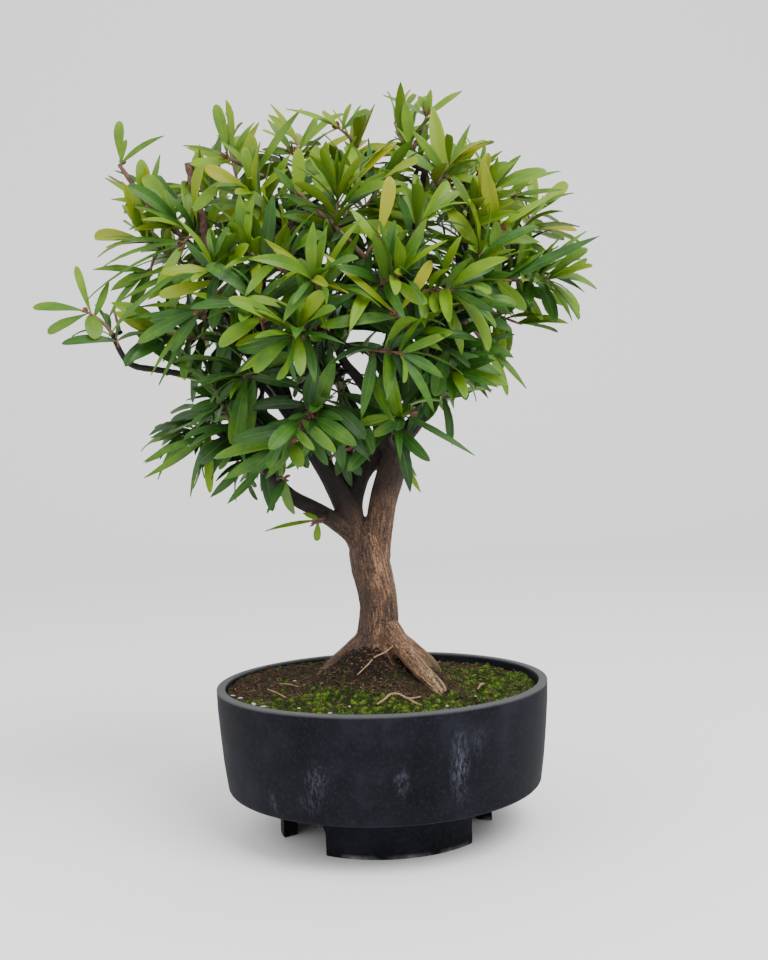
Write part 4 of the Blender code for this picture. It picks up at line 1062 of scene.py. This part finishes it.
def leafFrame(leaf, turn, light=crownSettings["light"]):  # the leaf's direction, and where its face looks
    angle = leaf["round"] + math.radians(turn)
    out = leaf["side"] * math.cos(angle) + leaf["up"] * math.sin(angle)
    along = leaf["axis"] * math.cos(leaf["spread"]) + out * math.sin(leaf["spread"])
    along = (along + Vector((0, 0, leaf["tilt"]))).normalized()
    light = light + leaf["axis"] * 0.2
    normal = light - along * light.dot(along)
    if normal.length < 0.15:
        normal = leaf["axis"] - along * leaf["axis"].dot(along)
    return along, normal.normalized()


def blade(draw, at, along, normal, length, width, bend, form, tint):  # one leaf's row of measures
    foot, rounding, point, _ = leafForms[form]
    widest = max((i / 50) ** foot * (1 - (i / 50) ** rounding) ** point for i in range(51))
    return {
        "leafBase": at, "leafAlong": along, "leafNormal": normal,
        "leafLength": length * mm, "leafBend": bend, "leafWidth": width / 2 / widest * mm,
        "leafFoot": foot, "leafRound": rounding, "leafPoint": point,
        **{label: draw.uniform(*span) for label, span in leafPlay.items()},
        "leafTint": max(0.0, min(1.0, tint)),
    }


def leafLook(draw, leaf, along, normal):  # the measures that only the finer leaf has
    s, height = leafSettings, leaf["height"]
    slim = 0.35 + 0.35 * height
    form = draw.choices(list(leafForms), (0.9 - height * 0.5, 1.0, 0.6 + slim, slim))[0]
    width = leaf["length"] * leaf["ratio"] * leafForms[form][3] * draw.uniform(0.8, 1.1)
    # Leaves near the crown's heart and low down get a darker tint, which is painted shade; top leaves get a
    # yellower one, partly painted light.
    outer = min(1.0, (leaf["at"] - crownSettings["heart"]).length / s["crownReach"]) - 0.8
    tint = s["tintFoot"] + s["heightToneAndShade"] * height + s["tintShare"] * leaf["share"] + s["crownHeartShade"] * outer
    tint += draw.gauss(0, s["tintPlay"])
    if height > 0.4 and draw.random() < s["newShare"]:
        tint += draw.uniform(*s["newTint"])
    normal = Matrix.Rotation(draw.gauss(0, s["roll"]), 3, along) @ normal
    return blade(draw, leaf["at"], along, normal, leaf["length"], width, leaf["bend"], form, tint)


def treeOf(piece):
    mesh = piece.data
    mesh.calc_loop_triangles()
    points = [toFrame.inverted() @ v.co for v in mesh.vertices]
    return BVHTree.FromPolygons(points, [tuple(t.vertices) for t in mesh.loop_triangles])


def bladeTree(at, along, normal, length, width, bend):  # the middle of a blade, for crossing tests
    across = along.cross(normal)
    vertices = []
    for t, share in ((0.2, 0.4), (0.45, 0.6), (0.75, 0.5)):
        middle = arcPoint(at, along, normal, length, bend, t)
        half = across * width * share
        vertices += [middle - half, middle - normal * 0.5, middle + half]
    vertices.append(arcPoint(at, along, normal, length, bend, 0.95))
    return BVHTree.FromPolygons(vertices, [(0, 1, 2), (6, 7, 9), (7, 8, 9), (8, 6, 9)] + skin(3, 3))


def plannedTree(leaf, along, normal):
    width = leaf["length"] * leaf["ratio"] / 2
    return bladeTree(leaf["at"], along, normal, leaf["length"], width, leaf["bend"])


def plannedPoint(leaf, along, normal, t=1.0):
    return arcPoint(leaf["at"], along, normal, leaf["length"], leaf["bend"], t)


shootTrees = {name: treeOf(nodes["leafy_shoot_" + name]) for name in twigs}
woodTree = treeOf(nodes["trunk_and_branches"])
extras = []  # middles and trees of the leaves that only this scene has


def fits(leaf, along, normal, reach=60):
    if inOpening(leaf, along, normal):
        return False
    tree = plannedTree(leaf, along, normal)
    middle = leaf["at"] + along * leaf["length"] / 2
    near = [other for place, other in extras if (place - middle).length < reach]
    if any(tree.overlap(other) for other in [woodTree, *shootTrees.values(), *near]):
        return False
    extras.append((middle, tree))
    return True


cameraSettings = {"distance": 838.0, "height": 271.0, "focal": 1100.0, "imageHeight": 960.0, "sensor": 36.0,
                  "turn": (89.38, 1.85, -0.46)}
# Openings in the crown, where no leaf stands: middle x and z on the plane through the pot's axis, as the
# camera sees them, then half width and half height
openings = [
    (-180, 330, 39, 21), (-222, 354, 26, 20), (-186, 368, 8, 7), (-126, 541, 10, 14), (-88, 544, 11, 11),
    (17, 541, 6, 11), (41, 284, 11, 13), (72, 312, 15, 8), (128, 357, 17, 15), (-8, 371, 9, 5),
    (-13, 351, 14, 7), (-12, 333, 8, 7), (-84, 326, 7, 6), (-145, 508, 11, 17), (-193, 471, 10, 8),
    (-8, 555, 23, 8), (-59, 557, 14, 6), (161, 466, 11, 8), (-130, 383, 5, 5), (-106, 235, 20, 11),
    (-58, 256, 17, 9), (-44, 262, 8, 11), (-47, 534, 11, 7), (-69, 518, 5, 7), (-101, 500, 11, 5),
    (-203, 461, 18, 7), (-195, 433, 11, 6), (156, 457, 15, 4), (138, 478, 11, 5), (88, 530, 11, 11),
    (63, 544, 10, 8), (83, 311, 20, 6), (49, 302, 9, 8), (-152, 272, 7, 8), (-103, 256, 7, 7),
    (-118, 258, 5, 6), (-132, 526, 10, 6), (14, 529, 8, 10), (67, 528, 7, 8),
]
# Sprigs that stand out: the end of the stem, then each leaf's tip, width, form and tint, which holds painted
# shade as well as the leaf's own tone
sprigs = {
    "leftTip": ((-187, 10, 511), [(-190, 8, 543, 8, "spoon", 0.58), (-183, 4, 528, 5, "oblong", 0.55),
        (-155, 4, 533, 5, "lance", 0.5)]),
    "leftHigh": ((-168, 0, 475), [(-168, -4, 510, 11, "oblong", 0.62), (-164, -10, 503, 7, "spoon", 0.9),
        (-156, -2, 515, 5, "lance", 0.5), (-198, 0, 498, 5, "lance", 0.55),
        (-192, -4, 482, 5, "sickle", 0.5)]),
    "farLeft": ((-203, -46, 390), [(-240, -50, 396, 9, "spoon", 0.52), (-230, -50, 374, 9, "spoon", 0.42),
        (-194, -58, 369, 13, "oblong", 0.52), (-212, -44, 423, 6, "spoon", 0.66),
        (-184, -46, 411, 6, "lance", 0.55)]),
    "leftSweep": ((-134, -40, 438), [(-203, -52, 399, 6, "sickle", 0.42), (-193, -42, 426, 5, "sickle", 0.45),
        (-185, -36, 443, 5, "sickle", 0.42), (-156, -52, 402, 7, "lance", 0.55)]),
    "leftSweepLow": ((-125, -46, 422), [(-186, -60, 370, 9, "sickle", 0.38),
        (-149, -58, 375, 9, "lance", 0.42)]),
    "leftMiddle": ((-120, -62, 386), [(-163, -68, 364, 10, "oblong", 0.36),
        (-142, -66, 357, 9, "lance", 0.33), (-159, -60, 343, 5, "sickle", 0.45),
        (-151, -58, 333, 4, "sickle", 0.4)]),
    "crestLeft": ((-102, -14, 506), [(-108, -16, 546, 9, "spoon", 0.5), (-135, -12, 519, 4, "lance", 0.45),
        (-129, -22, 498, 10, "oblong", 0.64)]),
    "crestLeftInner": ((-84, -18, 493), [(-106, -24, 516, 10, "oblong", 0.5),
        (-83, -26, 520, 12, "oblong", 0.7), (-48, -24, 541, 7, "sickle", 0.56)]),
    "crest": ((-19, -20, 524), [(-57, -26, 539, 7, "lance", 0.62), (-30, -32, 532, 10, "spoon", 0.75),
        (5, -24, 534, 9, "spoon", 0.45), (-10, -20, 542, 5, "oblong", 0.66)]),
    "crestBack": ((-55, -8, 511), [(-72, -12, 535, 7, "lance", 0.5), (-77, -14, 511, 6, "lance", 0.42)]),
    "topLeftFront": ((-103, -44, 483), [(-56, -56, 449, 9, "sickle", 0.56),
        (-122, -52, 457, 9, "oblong", 0.5)]),
    "highFront": ((-48, -62, 463), [(-44, -68, 496, 10, "oblong", 0.68), (-20, -72, 467, 10, "spoon", 0.7),
        (-63, -66, 485, 6, "lance", 0.42)]),
    "highYellow": ((6, -94, 424), [(21, -90, 467, 10, "spoon", 0.95), (-10, -98, 447, 7, "lance", 0.55)]),
    "midCrown": ((17, -102, 374), [(-35, -110, 415, 7, "sickle", 0.86), (43, -106, 407, 8, "spoon", 0.97),
        (-33, -114, 366, 10, "oblong", 0.42)]),
    "leftCrown": ((-44, -100, 377), [(-45, -102, 413, 11, "spoon", 0.42), (-80, -108, 390, 7, "spoon", 0.62),
        (-20, -104, 386, 5, "lance", 0.5)]),
    "bigLeaf": ((-72, -100, 374), [(-101, -114, 355, 14, "oblong", 0.56)]),
    "hanging": ((-56, -82, 290), [(-109, -92, 287, 9, "oblong", 0.42), (-104, -90, 268, 10, "lance", 0.36),
        (-19, -92, 286, 8, "oblong", 0.4), (-1, -86, 296, 8, "lance", 0.32),
        (-50, -90, 274, 10, "oblong", 0.46), (-84, -96, 270, 8, "lance", 0.34)]),
    "upright": ((-44, -80, 309), [(-24, -88, 347, 12, "lance", 0.42), (-59, -86, 307, 5, "lance", 0.3)]),
    "rightNode": ((26, -62, 309), [(24, -68, 354, 13, "lance", 0.24), (-11, -72, 304, 9, "lance", 0.38),
        (0, -74, 291, 8, "oblong", 0.42), (72, -68, 279, 6, "sickle", 0.26),
        (58, -62, 288, 4, "sickle", 0.36)]),
    "behindTrunk": ((21, 24, 277), [(33, 22, 264, 5, "sickle", 0.6), (34, 22, 250, 6, "lance", 0.64)]),
    "rightHang": ((53, -62, 353), [(43, -66, 320, 13, "oblong", 0.38), (92, -70, 335, 10, "lance", 0.34)]),
    "lowLeftOuter": ((-120, -42, 298), [(-168, -46, 285, 6, "sickle", 0.42),
        (-165, -48, 267, 6, "sickle", 0.44), (-132, -58, 254, 6, "sickle", 0.36),
        (-121, -46, 257, 7, "oblong", 0.62)]),
    "lowLeft": ((-80, -62, 274), [(-104, -68, 249, 6, "lance", 0.38), (-93, -64, 262, 5, "lance", 0.32)]),
    "lowInner": ((-65, -42, 266), [(-78, -52, 241, 6, "sickle", 0.3), (-64, -26, 239, 10, "oblong", 0.46)]),
    "forkSprig": ((-45, -26, 234), [(-83, -28, 227, 4, "sickle", 0.6), (-45, -28, 219, 6, "spoon", 0.6),
        (-55, -26, 239, 4, "lance", 0.5)]),
    "summit": ((47, -10, 534), [(16, -12, 552, 5, "sickle", 0.52), (43, -12, 549, 5, "spoon", 0.55),
        (49, -14, 553, 6, "lance", 0.56), (75, -12, 551, 6, "lance", 0.6)]),
    "summitLow": ((35, -12, 511), [(30, -16, 545, 9, "lance", 0.62), (53, -14, 519, 4, "lance", 0.5),
        (24, -16, 524, 6, "lance", 0.58)]),
    "summitRight": ((61, -26, 483), [(75, -26, 524, 6, "sickle", 0.5), (83, -34, 505, 11, "oblong", 0.44),
        (35, -38, 516, 7, "lance", 0.58), (15, -42, 504, 9, "lance", 0.55)]),
    "rightTop": ((93, -24, 475), [(115, -28, 498, 7, "lance", 0.45), (75, -26, 514, 5, "sickle", 0.6),
        (145, -28, 484, 7, "sickle", 0.62)]),
    "rightTopFront": ((95, -48, 440), [(82, -52, 486, 11, "lance", 0.86), (134, -44, 462, 7, "sickle", 0.72),
        (130, -40, 457, 7, "spoon", 0.58)]),
    "rightShoulder": ((96, -46, 402), [(166, -56, 431, 9, "sickle", 0.3), (127, -50, 423, 7, "lance", 0.42),
        (88, -54, 444, 10, "oblong", 0.45), (111, -52, 380, 10, "oblong", 0.5)]),
    "rightTip": ((129, -6, 415), [(163, -10, 401, 8, "sickle", 0.46), (155, -14, 379, 7, "lance", 0.5),
        (136, -16, 376, 12, "oblong", 0.34), (165, -8, 430, 6, "sickle", 0.4),
        (165, -6, 447, 5, "sickle", 0.45)]),
    "rightLow": ((84, -32, 358), [(115, -34, 327, 5, "sickle", 0.42), (104, -38, 349, 7, "lance", 0.36),
        (106, -28, 367, 5, "lance", 0.3), (102, -36, 323, 9, "oblong", 0.5),
        (78, -36, 326, 7, "lance", 0.28)]),
    "leftFill": ((-126, -30, 422), [(-181, -36, 399, 7, "lance", 0.45), (-161, -42, 399, 8, "lance", 0.5),
        (-178, -30, 416, 5, "sickle", 0.5), (-149, -46, 388, 6, "sickle", 0.4)]),
    "leftFillLow": ((-117, -56, 384), [(-155, -62, 382, 11, "oblong", 0.34),
        (-175, -58, 380, 6, "lance", 0.38), (-166, -52, 393, 6, "lance", 0.42)]),
    "crotch": ((-22, -10, 286), [(-29, -12, 266, 9, "lance", 0.2), (-12, -8, 265, 8, "oblong", 0.12),
        (-20, -4, 256, 7, "lance", 0.12)]),
    "lowLeftSide": ((-109, -40, 324), [(-129, -44, 333, 9, "lance", 0.3), (-132, -46, 317, 8, "lance", 0.28),
        (-135, -44, 304, 6, "sickle", 0.3)]),
    "farLeftBack": ((-161, -24, 421), [(-202, -30, 424, 7, "lance", 0.5), (-188, -32, 406, 9, "lance", 0.45),
        (-173, -30, 393, 9, "oblong", 0.4), (-195, -34, 387, 7, "lance", 0.42)]),
    "rightTopEdge": ((109, -14, 471), [(146, -18, 475, 6, "sickle", 0.55), (135, -20, 462, 7, "lance", 0.5),
        (124, -16, 485, 7, "lance", 0.55)]),
    "summitEdge": ((84, -18, 489), [(90, -20, 512, 6, "lance", 0.5), (101, -22, 504, 7, "lance", 0.52),
        (106, -20, 494, 6, "oblong", 0.5)]),
}
# Bare woody stems in the crown: x, y, z, radius
bareStems = [
    [(-130, -20, 440, 2.2), (-163, -6, 474, 1.9), (-188, 8, 509, 1.5)],
    [(-124, -14, 466, 2.6), (-129, -16, 486, 2.7), (-131, -18, 502, 2.8)],
    [(-113, -30, 426, 3.8), (-118, -30, 444, 3.5), (-122, -28, 463, 3.2)],
    [(-76, -44, 429, 3.2), (-57, -50, 445, 2.3), (-39, -52, 459, 1.4)],
    [(-2, -86, 415, 1.8), (-26, -74, 443, 1.5), (-54, -60, 473, 1.2)],
    [(-76, -16, 491, 1.6), (-93, -14, 501, 1.4), (-113, -12, 513, 1.2)],
    [(35, -14, 506, 1.8), (42, -12, 520, 1.5), (47, -10, 533, 1.2)],
    [(-37, -70, 323, 1.7), (-47, -78, 306, 1.5), (-57, -82, 289, 1.3)],
    [(-47, -84, 338, 1.6), (-46, -94, 356, 1.4), (-44, -100, 376, 1.2)],
]
sprigSettings = {"seed": 5, "bend": (0.12, 0.5), "stemFoot": 1.5, "stemEnd": 0.9, "bow": 0.07, "scales": 4,
                 "scaleLength": (4, 8), "scaleWidth": 2.4, "scaleBend": 0.8, "calm": 0.4, "between": 1.6,
                 "light": Vector((0.1, -0.95, 0.5)), "tintPlay": 0.03,
                 "brown": ((0.035, 0.018, 0.014), (0.105, 0.058, 0.042), (0.22, 0.14, 0.10))}


def inOpening(leaf, along, normal):
    eye, distance = cameraSettings["height"], cameraSettings["distance"]
    for t in (0.3, 0.5, 0.7, 0.85, 1.0):
        point = plannedPoint(leaf, along, normal, t)
        nearer = distance / (distance + point.y)
        x, z = point.x * nearer, eye + (point.z - eye) * nearer
        if any(((x - cx) / a) ** 2 + ((z - cz) / b) ** 2 < 1 for cx, cz, a, b in openings):
            return True
    return False


def nearestWood(c):  # finds the closest place on a limb, twig or shoot stem
    places = [point for rows in limbs.values() for point in smoothed(rows, 4.0)[0]]
    for name, twig in twigs.items():
        start, end = shootAxis(c, name)
        places += twigPath(c, twig, 12)[0] + [start.lerp(end, k / 8) for k in range(9)]
    return placeTree(places + [Vector(row[:3]) for rows in bareStems for row in rows])


def leafTo(base, tip, bend, light):  # direction, face and length of a leaf bent from its base to its tip
    chord = (tip - base).normalized()
    face = (light - chord * light.dot(chord)).normalized()
    along = chord * math.cos(bend / 2) + face * math.sin(bend / 2)
    normal = face * math.cos(bend / 2) - chord * math.sin(bend / 2)
    return along, normal, (tip - base).length * bend / 2 / math.sin(bend / 2)


def makeSprigs(s, c):
    draw = random.Random(s["seed"])
    near = nearestWood(c)
    leaves, scales, stems = [], [], []
    for foot, tips in sprigs.values():
        foot = Vector(foot)
        root = near.find(foot)[0]
        away = (foot - root).length
        out = (foot - root).normalized() if away > 1 else Vector((0, -0.3, 1)).normalized()
        if away > 1:
            bow = root.lerp(foot, 0.5) + Vector((draw.uniform(-1, 1), -1, 1)) * away * s["bow"]
            rows = [(*root, s["stemFoot"]), (*bow, s["stemFoot"] * 0.8), (*foot, s["stemEnd"])]
            stems.append(tube(*smoothed(rows, 4.0), 7))
        for k, (x, y, z, width, form, tint) in enumerate(tips):
            base = foot - out * min(away * 0.5, s["between"] * k)
            light = s["light"] + Vector((draw.gauss(0, 0.35), draw.gauss(0, 0.2), draw.gauss(0, 0.2)))
            bend = draw.uniform(*s["bend"])
            along, normal, length = leafTo(base, Vector((x, y, z)), bend, light)
            tint += draw.gauss(0, s["tintPlay"])
            leaf = blade(draw, base, along, normal, length, width, bend, form, tint)
            leaves.append({**leaf, **{label: leaf[label] * s["calm"] for label in ("leafTwist", "leafFold")}})
            tree = bladeTree(base, along, normal, length, width / 2, bend)
            extras.append((base + along * length / 2, tree))  # other leaves keep out of this one's way
        side, up = stemSides(out)
        for k in range(s["scales"]):
            angle = 1.57 * k + draw.uniform(-0.4, 0.4)
            across = side * math.cos(angle) + up * math.sin(angle)
            along, normal = (out * 0.8 + across).normalized(), (across - out * 0.8).normalized()
            shape = (draw.uniform(*s["scaleLength"]), s["scaleWidth"], s["scaleBend"], "oblong", 0.5)
            scales.append(blade(draw, foot - out * 0.6, along, normal, *shape))
    finished(grownLeaves("sprigLeaves", leaves, leafGreen), "leaf")
    finished(grownLeaves("budScales", scales, bractRed), "leaf")
    finished(joined("sprigStems", stems, youngStem), "leaf")
    knotted("bareStems", bareStems, 3.0, draw, (0.85, 1.25), 8, speckled("brownStem", 0.8, 220.0, s["brown"]))
    return len(leaves)


def knotted(name, guides, step, draw, play, sides, material):  # uneven woody stems
    shapes = []
    for rows in guides:
        points, radii = smoothed(rows, step)
        shapes.append(tube(points, [radius * draw.uniform(*play) for radius in radii], sides))
    finished(joined(name, shapes, material), "bark")


print(makeSprigs(sprigSettings, crownSettings), "leaves on sprigs")
sprigTrees = [tree for _, tree in extras]


def matchedLeaves(c, name, start, end, draw, look):  # finds the solid's own leaves by their tips
    corners = placeTree([vertex.co for vertex in nodes["leafy_shoot_" + name].data.vertices])
    leaves = []
    for leaf in leafPlan(c, start, end, shootSizes.get(name, 1.0), draw):
        for turn in c["leafTurns"]:
            along, normal = leafFrame(leaf, turn)
            if corners.find(inPlace(plannedPoint(leaf, along, normal)))[2] < 0.2 * mm:
                tree = plannedTree(leaf, along, normal)
                crossed = any(tree.overlap(other) for other in sprigTrees)
                if not crossed and not inOpening(leaf, along, normal):
                    leaves.append(leafLook(look, leaf, along, normal))
                break
    return leaves


def moreLeaves(c, name, start, end, look):  # leaves in between and a rosette at the tip, where there is room
    low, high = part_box("leafy_shoot_" + name)
    size, past, play = shootSizes.get(name, 1.0), c["pastBox"], c["spreadPlay"]
    leaves = []
    for k in range(round(c["moreLeaves"] * (0.45 + 0.55 * shareOfHeight(end)))):
        young = k < c["tipLeaves"]
        station = c["tipStation"] if young else look.uniform(*c["moreStations"])
        plan = leafPlan(c, start, end, size, look)[0]
        leaf = {**plan, "at": start.lerp(end, station), "share": station, "round": look.uniform(0, 6.3),
                "length": look.uniform(*c["tipLength" if young else "moreLength"])}
        leaf["length"] *= size if young else (1.1 - 0.3 * station) * size
        spread = look.uniform(*(c["tipSpread"] if young else (-play, play)))
        spread += 0 if young else c["moreSpread"] - c["moreCloser"] * station
        leaf["spread"] = math.radians(spread)
        light = Vector((look.gauss(0, 0.55), look.gauss(-0.55, 0.35), 0.8))
        for turn in c["moreTurns"]:
            along, normal = leafFrame(leaf, turn, light)
            tip = inPlace(plannedPoint(leaf, along, normal))
            if all(low[i] - past < tip[i] < high[i] + past for i in range(3)) and fits(leaf, along, normal):
                leaves.append(leafLook(look, leaf, along, normal))
                break
    return leaves


def makeShoot(c, index, name, steps=6):
    start, end = shootAxis(c, name)
    leaves, look = [], random.Random(index)
    if name not in bareShoots:
        leaves += matchedLeaves(c, name, start, end, random.Random(c["seed"] * 1000 + index), look)
        leaves += moreLeaves(c, name, start, end, look)
    piece = grownLeaves("leafyShoot_" + name, leaves, leafGreen)
    axis = (end - start).normalized()
    points = [start.lerp(end, i / steps) - axis * (0 if i else 1.2) for i in range(steps + 1)]
    points.append(end + axis * 1.6)
    radii = [(c["shootBase"] + (c["shootTip"] - c["shootBase"]) * i / steps) * (1.15 if i % 2 else 0.9)
             for i in range(steps + 1)] + [0.35]
    stem = addMesh("stem", *tube(points, radii, 8), youngStem)
    with bpy.context.temp_override(active_object=piece, selected_editable_objects=[piece, stem]):
        bpy.ops.object.join()
    finished(piece, "leaf", "leafy_shoot_" + name)
    return len(leaves)


print(sum(makeShoot(crownSettings, index, name) for index, name in enumerate(twigs)), "leaves on shoots")


# Leaves on short spurs along the older wood

spurSettings = {"seed": 31, "every": 11.0, "thinnest": 1.4, "thickest": 4.4, "lowest": 330.0, "leaves": 4,
                "length": (26, 48), "reach": (3, 9), "radii": [0.9, 0.7]}


def makeSpurs(s, c):
    draw = random.Random(s["seed"])
    paths = [smoothed(rows, s["every"]) for name, rows in limbs.items() if name != "trunk"]
    paths += [twigPath(c, twig, 8) for twig in twigs.values()]
    places = [(*row, point, radius) for points, radii in paths
              for row, point, radius in zip(turnedFrames(points), points, radii)
              if s["thinnest"] < radius < s["thickest"] and point.z >= s["lowest"]]
    leaves, stems = [], []
    for along, side, up, point, radius in places:
        angle = draw.uniform(0, 6.3)
        out = (side * math.cos(angle) + up * math.sin(angle) + along * 0.7 + Vector((0, 0, 0.3))).normalized()
        foot, end = point + out * radius * 0.6, point + out * (radius + draw.uniform(*s["reach"]))
        spurSide, spurUp = stemSides(out)
        before = len(leaves)
        for k in range(s["leaves"]):
            leaf = {"at": end - out * 0.5, "axis": out, "side": spurSide, "up": spurUp,
                    "round": math.pi / 2 * k + draw.uniform(-0.6, 0.6),
                    "spread": math.radians(draw.uniform(35, 80)), "tilt": draw.uniform(-0.2, 0.3),
                    "length": draw.uniform(*s["length"]), "bend": draw.uniform(0.4, 1.3),
                    "ratio": draw.choice(c["leafWidths"]), "share": 0.1, "height": shareOfHeight(end) * 0.7}
            placed = leafFrame(leaf, 0, Vector((draw.gauss(0, 0.55), draw.gauss(-0.45, 0.35), 0.8)))
            if fits(leaf, *placed):
                leaves.append(leafLook(draw, leaf, *placed))
        if len(leaves) > before:
            stems.append(tube([foot, end], s["radii"], 6))
    finished(grownLeaves("innerLeaves", leaves, leafGreen), "leaf")
    finished(joined("spurStems", stems, youngStem), "leaf")
    return len(leaves)


print(makeSpurs(spurSettings, crownSettings), "leaves on spurs")
bpy.data.objects.remove(pattern)


# Dead bits on the moss: pale twigs and thin surface roots, then chips with their length and width

litterSettings = {"seed": 12, "twig": ((0.13, 0.075, 0.042), (0.30, 0.20, 0.115), (0.30, 0.20, 0.115)),
                  "chip": ((0.22, 0.20, 0.14), (0.50, 0.47, 0.38), (0.50, 0.47, 0.38)), "chipFlat": 0.45}
deadTwigs = [
    [(-4, -75, 107, 0.7), (1, -70, 109, 1.0), (6, -62, 111, 0.9),
     (12, -63, 111, 0.8), (18, -71, 109.5, 0.9), (27, -64, 109, 0.5)],
    [(18, -71, 109.5, 0.9), (22, -78, 108, 0.8), (27, -83, 107, 0.5)],
    [(-86, -14, 108, 0.5), (-78, -28, 108, 0.6), (-70, -44, 107.5, 0.4)],
    [(-78, 0, 109, 0.5), (-70, -8, 110, 0.5), (-62, -15, 109, 0.4)],
    [(76, -16, 107, 0.9), (73, -24, 108, 1.1), (70, -33, 106.5, 0.7)],
    [(10, -14, 138, 0.8), (3, -20, 134, 0.7), (-5, -24, 131, 0.6),
     (-10, -31, 127, 0.6), (-18, -38, 121, 0.4)],
]
chips = [
    (-112, -20, 105, 5, 3), (-104, -34, 106, 4, 2.4), (-92, -56, 106, 7, 3), (-84, -66, 106, 5, 2.6),
    (-67, 4, 110, 2.6, 2), (-23, -80, 107, 2.4, 1.8), (-36, -94, 106, 3.2, 1.8), (44, -88, 107, 2.4, 1.6),
    (66, -60, 107, 2.2, 1.5), (-58, -80, 107, 2.6, 1.6),
]


def makeLitter(s):
    draw = random.Random(s["seed"])
    knotted("deadTwigs", deadTwigs, 2.0, draw, (0.85, 1.15), 7, speckled("deadTwig", 0.8, 140.0, s["twig"]))
    shapes = []
    for x, y, z, long, wide in chips:
        turn = draw.uniform(0, 3.1)
        spine = Vector((math.cos(turn), math.sin(turn), 0)) * long / 2
        points = [Vector((x, y, z + 0.7 * (1 - f * f))) + spine * f for f in (-1, -0.6, 0, 0.6, 1)]
        vertices, faces = tube(points, [wide * f for f in (0.15, 0.42, 0.5, 0.4, 0.12)], 8)
        shapes.append(([Vector((v.x, v.y, z + (v.z - z) * s["chipFlat"])) for v in vertices], faces))
    finished(joined("paleChips", shapes, speckled("paleChip", 0.85, 160.0, s["chip"])), "soil")


makeLitter(litterSettings)
print("litter laid")


# Floor, light and camera: a lamp's place, size and power

stageSettings = {"floor": (0.92, 0.92, 0.915), "front": -2.5, "depth": 2.4, "width": 6.0, "height": 3.5,
                 "curve": 0.8, "world": 1.25, "aim": 0.3,
                 "keyLight": ((0.9, -1.1, 1.9), 1.4, 62.0), "fillLight": ((-1.4, -0.8, 1.2), 1.6, 14.0)}


def makeStage(s):
    material, tree = newMaterial("paleFloor", 0.75)
    tree.nodes["Principled BSDF"].inputs["Base Color"].default_value = (*s["floor"], 1.0)
    profile = [(s["front"], 0.0), (s["depth"] + s["curve"], s["height"])]
    profile[1:1] = [(s["depth"] + s["curve"] * math.sin(a), s["curve"] * (1 - math.cos(a)))
                    for a in [math.radians(7.5 * i) for i in range(13)]]
    vertices = [Vector((x, y, z)) / mm for y, z in profile for x in (-s["width"] / 2, s["width"] / 2)]
    faces = [(2 * i, 2 * i + 1, 2 * i + 3, 2 * i + 2) for i in range(len(profile) - 1)]
    addMesh("floor", vertices, faces, material)
    world = bpy.data.worlds.new("studio")
    bpy.context.scene.world = world
    world.use_nodes = True
    world.node_tree.nodes["Background"].inputs["Color"].default_value = (1.0, 1.0, 1.0, 1.0)
    world.node_tree.nodes["Background"].inputs["Strength"].default_value = s["world"]
    for name in ("keyLight", "fillLight"):
        place, size, power = s[name]
        lamp = bpy.data.lights.new(name, "AREA")
        lamp.size, lamp.energy = size, power
        light = newPiece(name, lamp)
        light.location = Vector(place) + potAxis
        aim = Vector((0, 0, s["aim"])) + potAxis - light.location
        light.rotation_euler = aim.to_track_quat("-Z", "Y").to_euler()


def makeCamera(s):
    lens = bpy.data.cameras.new("camera")
    lens.sensor_width = s["sensor"]
    lens.lens = s["sensor"] * s["focal"] / s["imageHeight"]
    camera = newPiece("camera", lens)
    camera.location = inPlace((0, -s["distance"], s["height"]))
    camera.rotation_euler = [math.radians(angle) for angle in s["turn"]]
    bpy.context.scene.camera = camera


makeStage(stageSettings)
makeCamera(cameraSettings)
print("stage set")
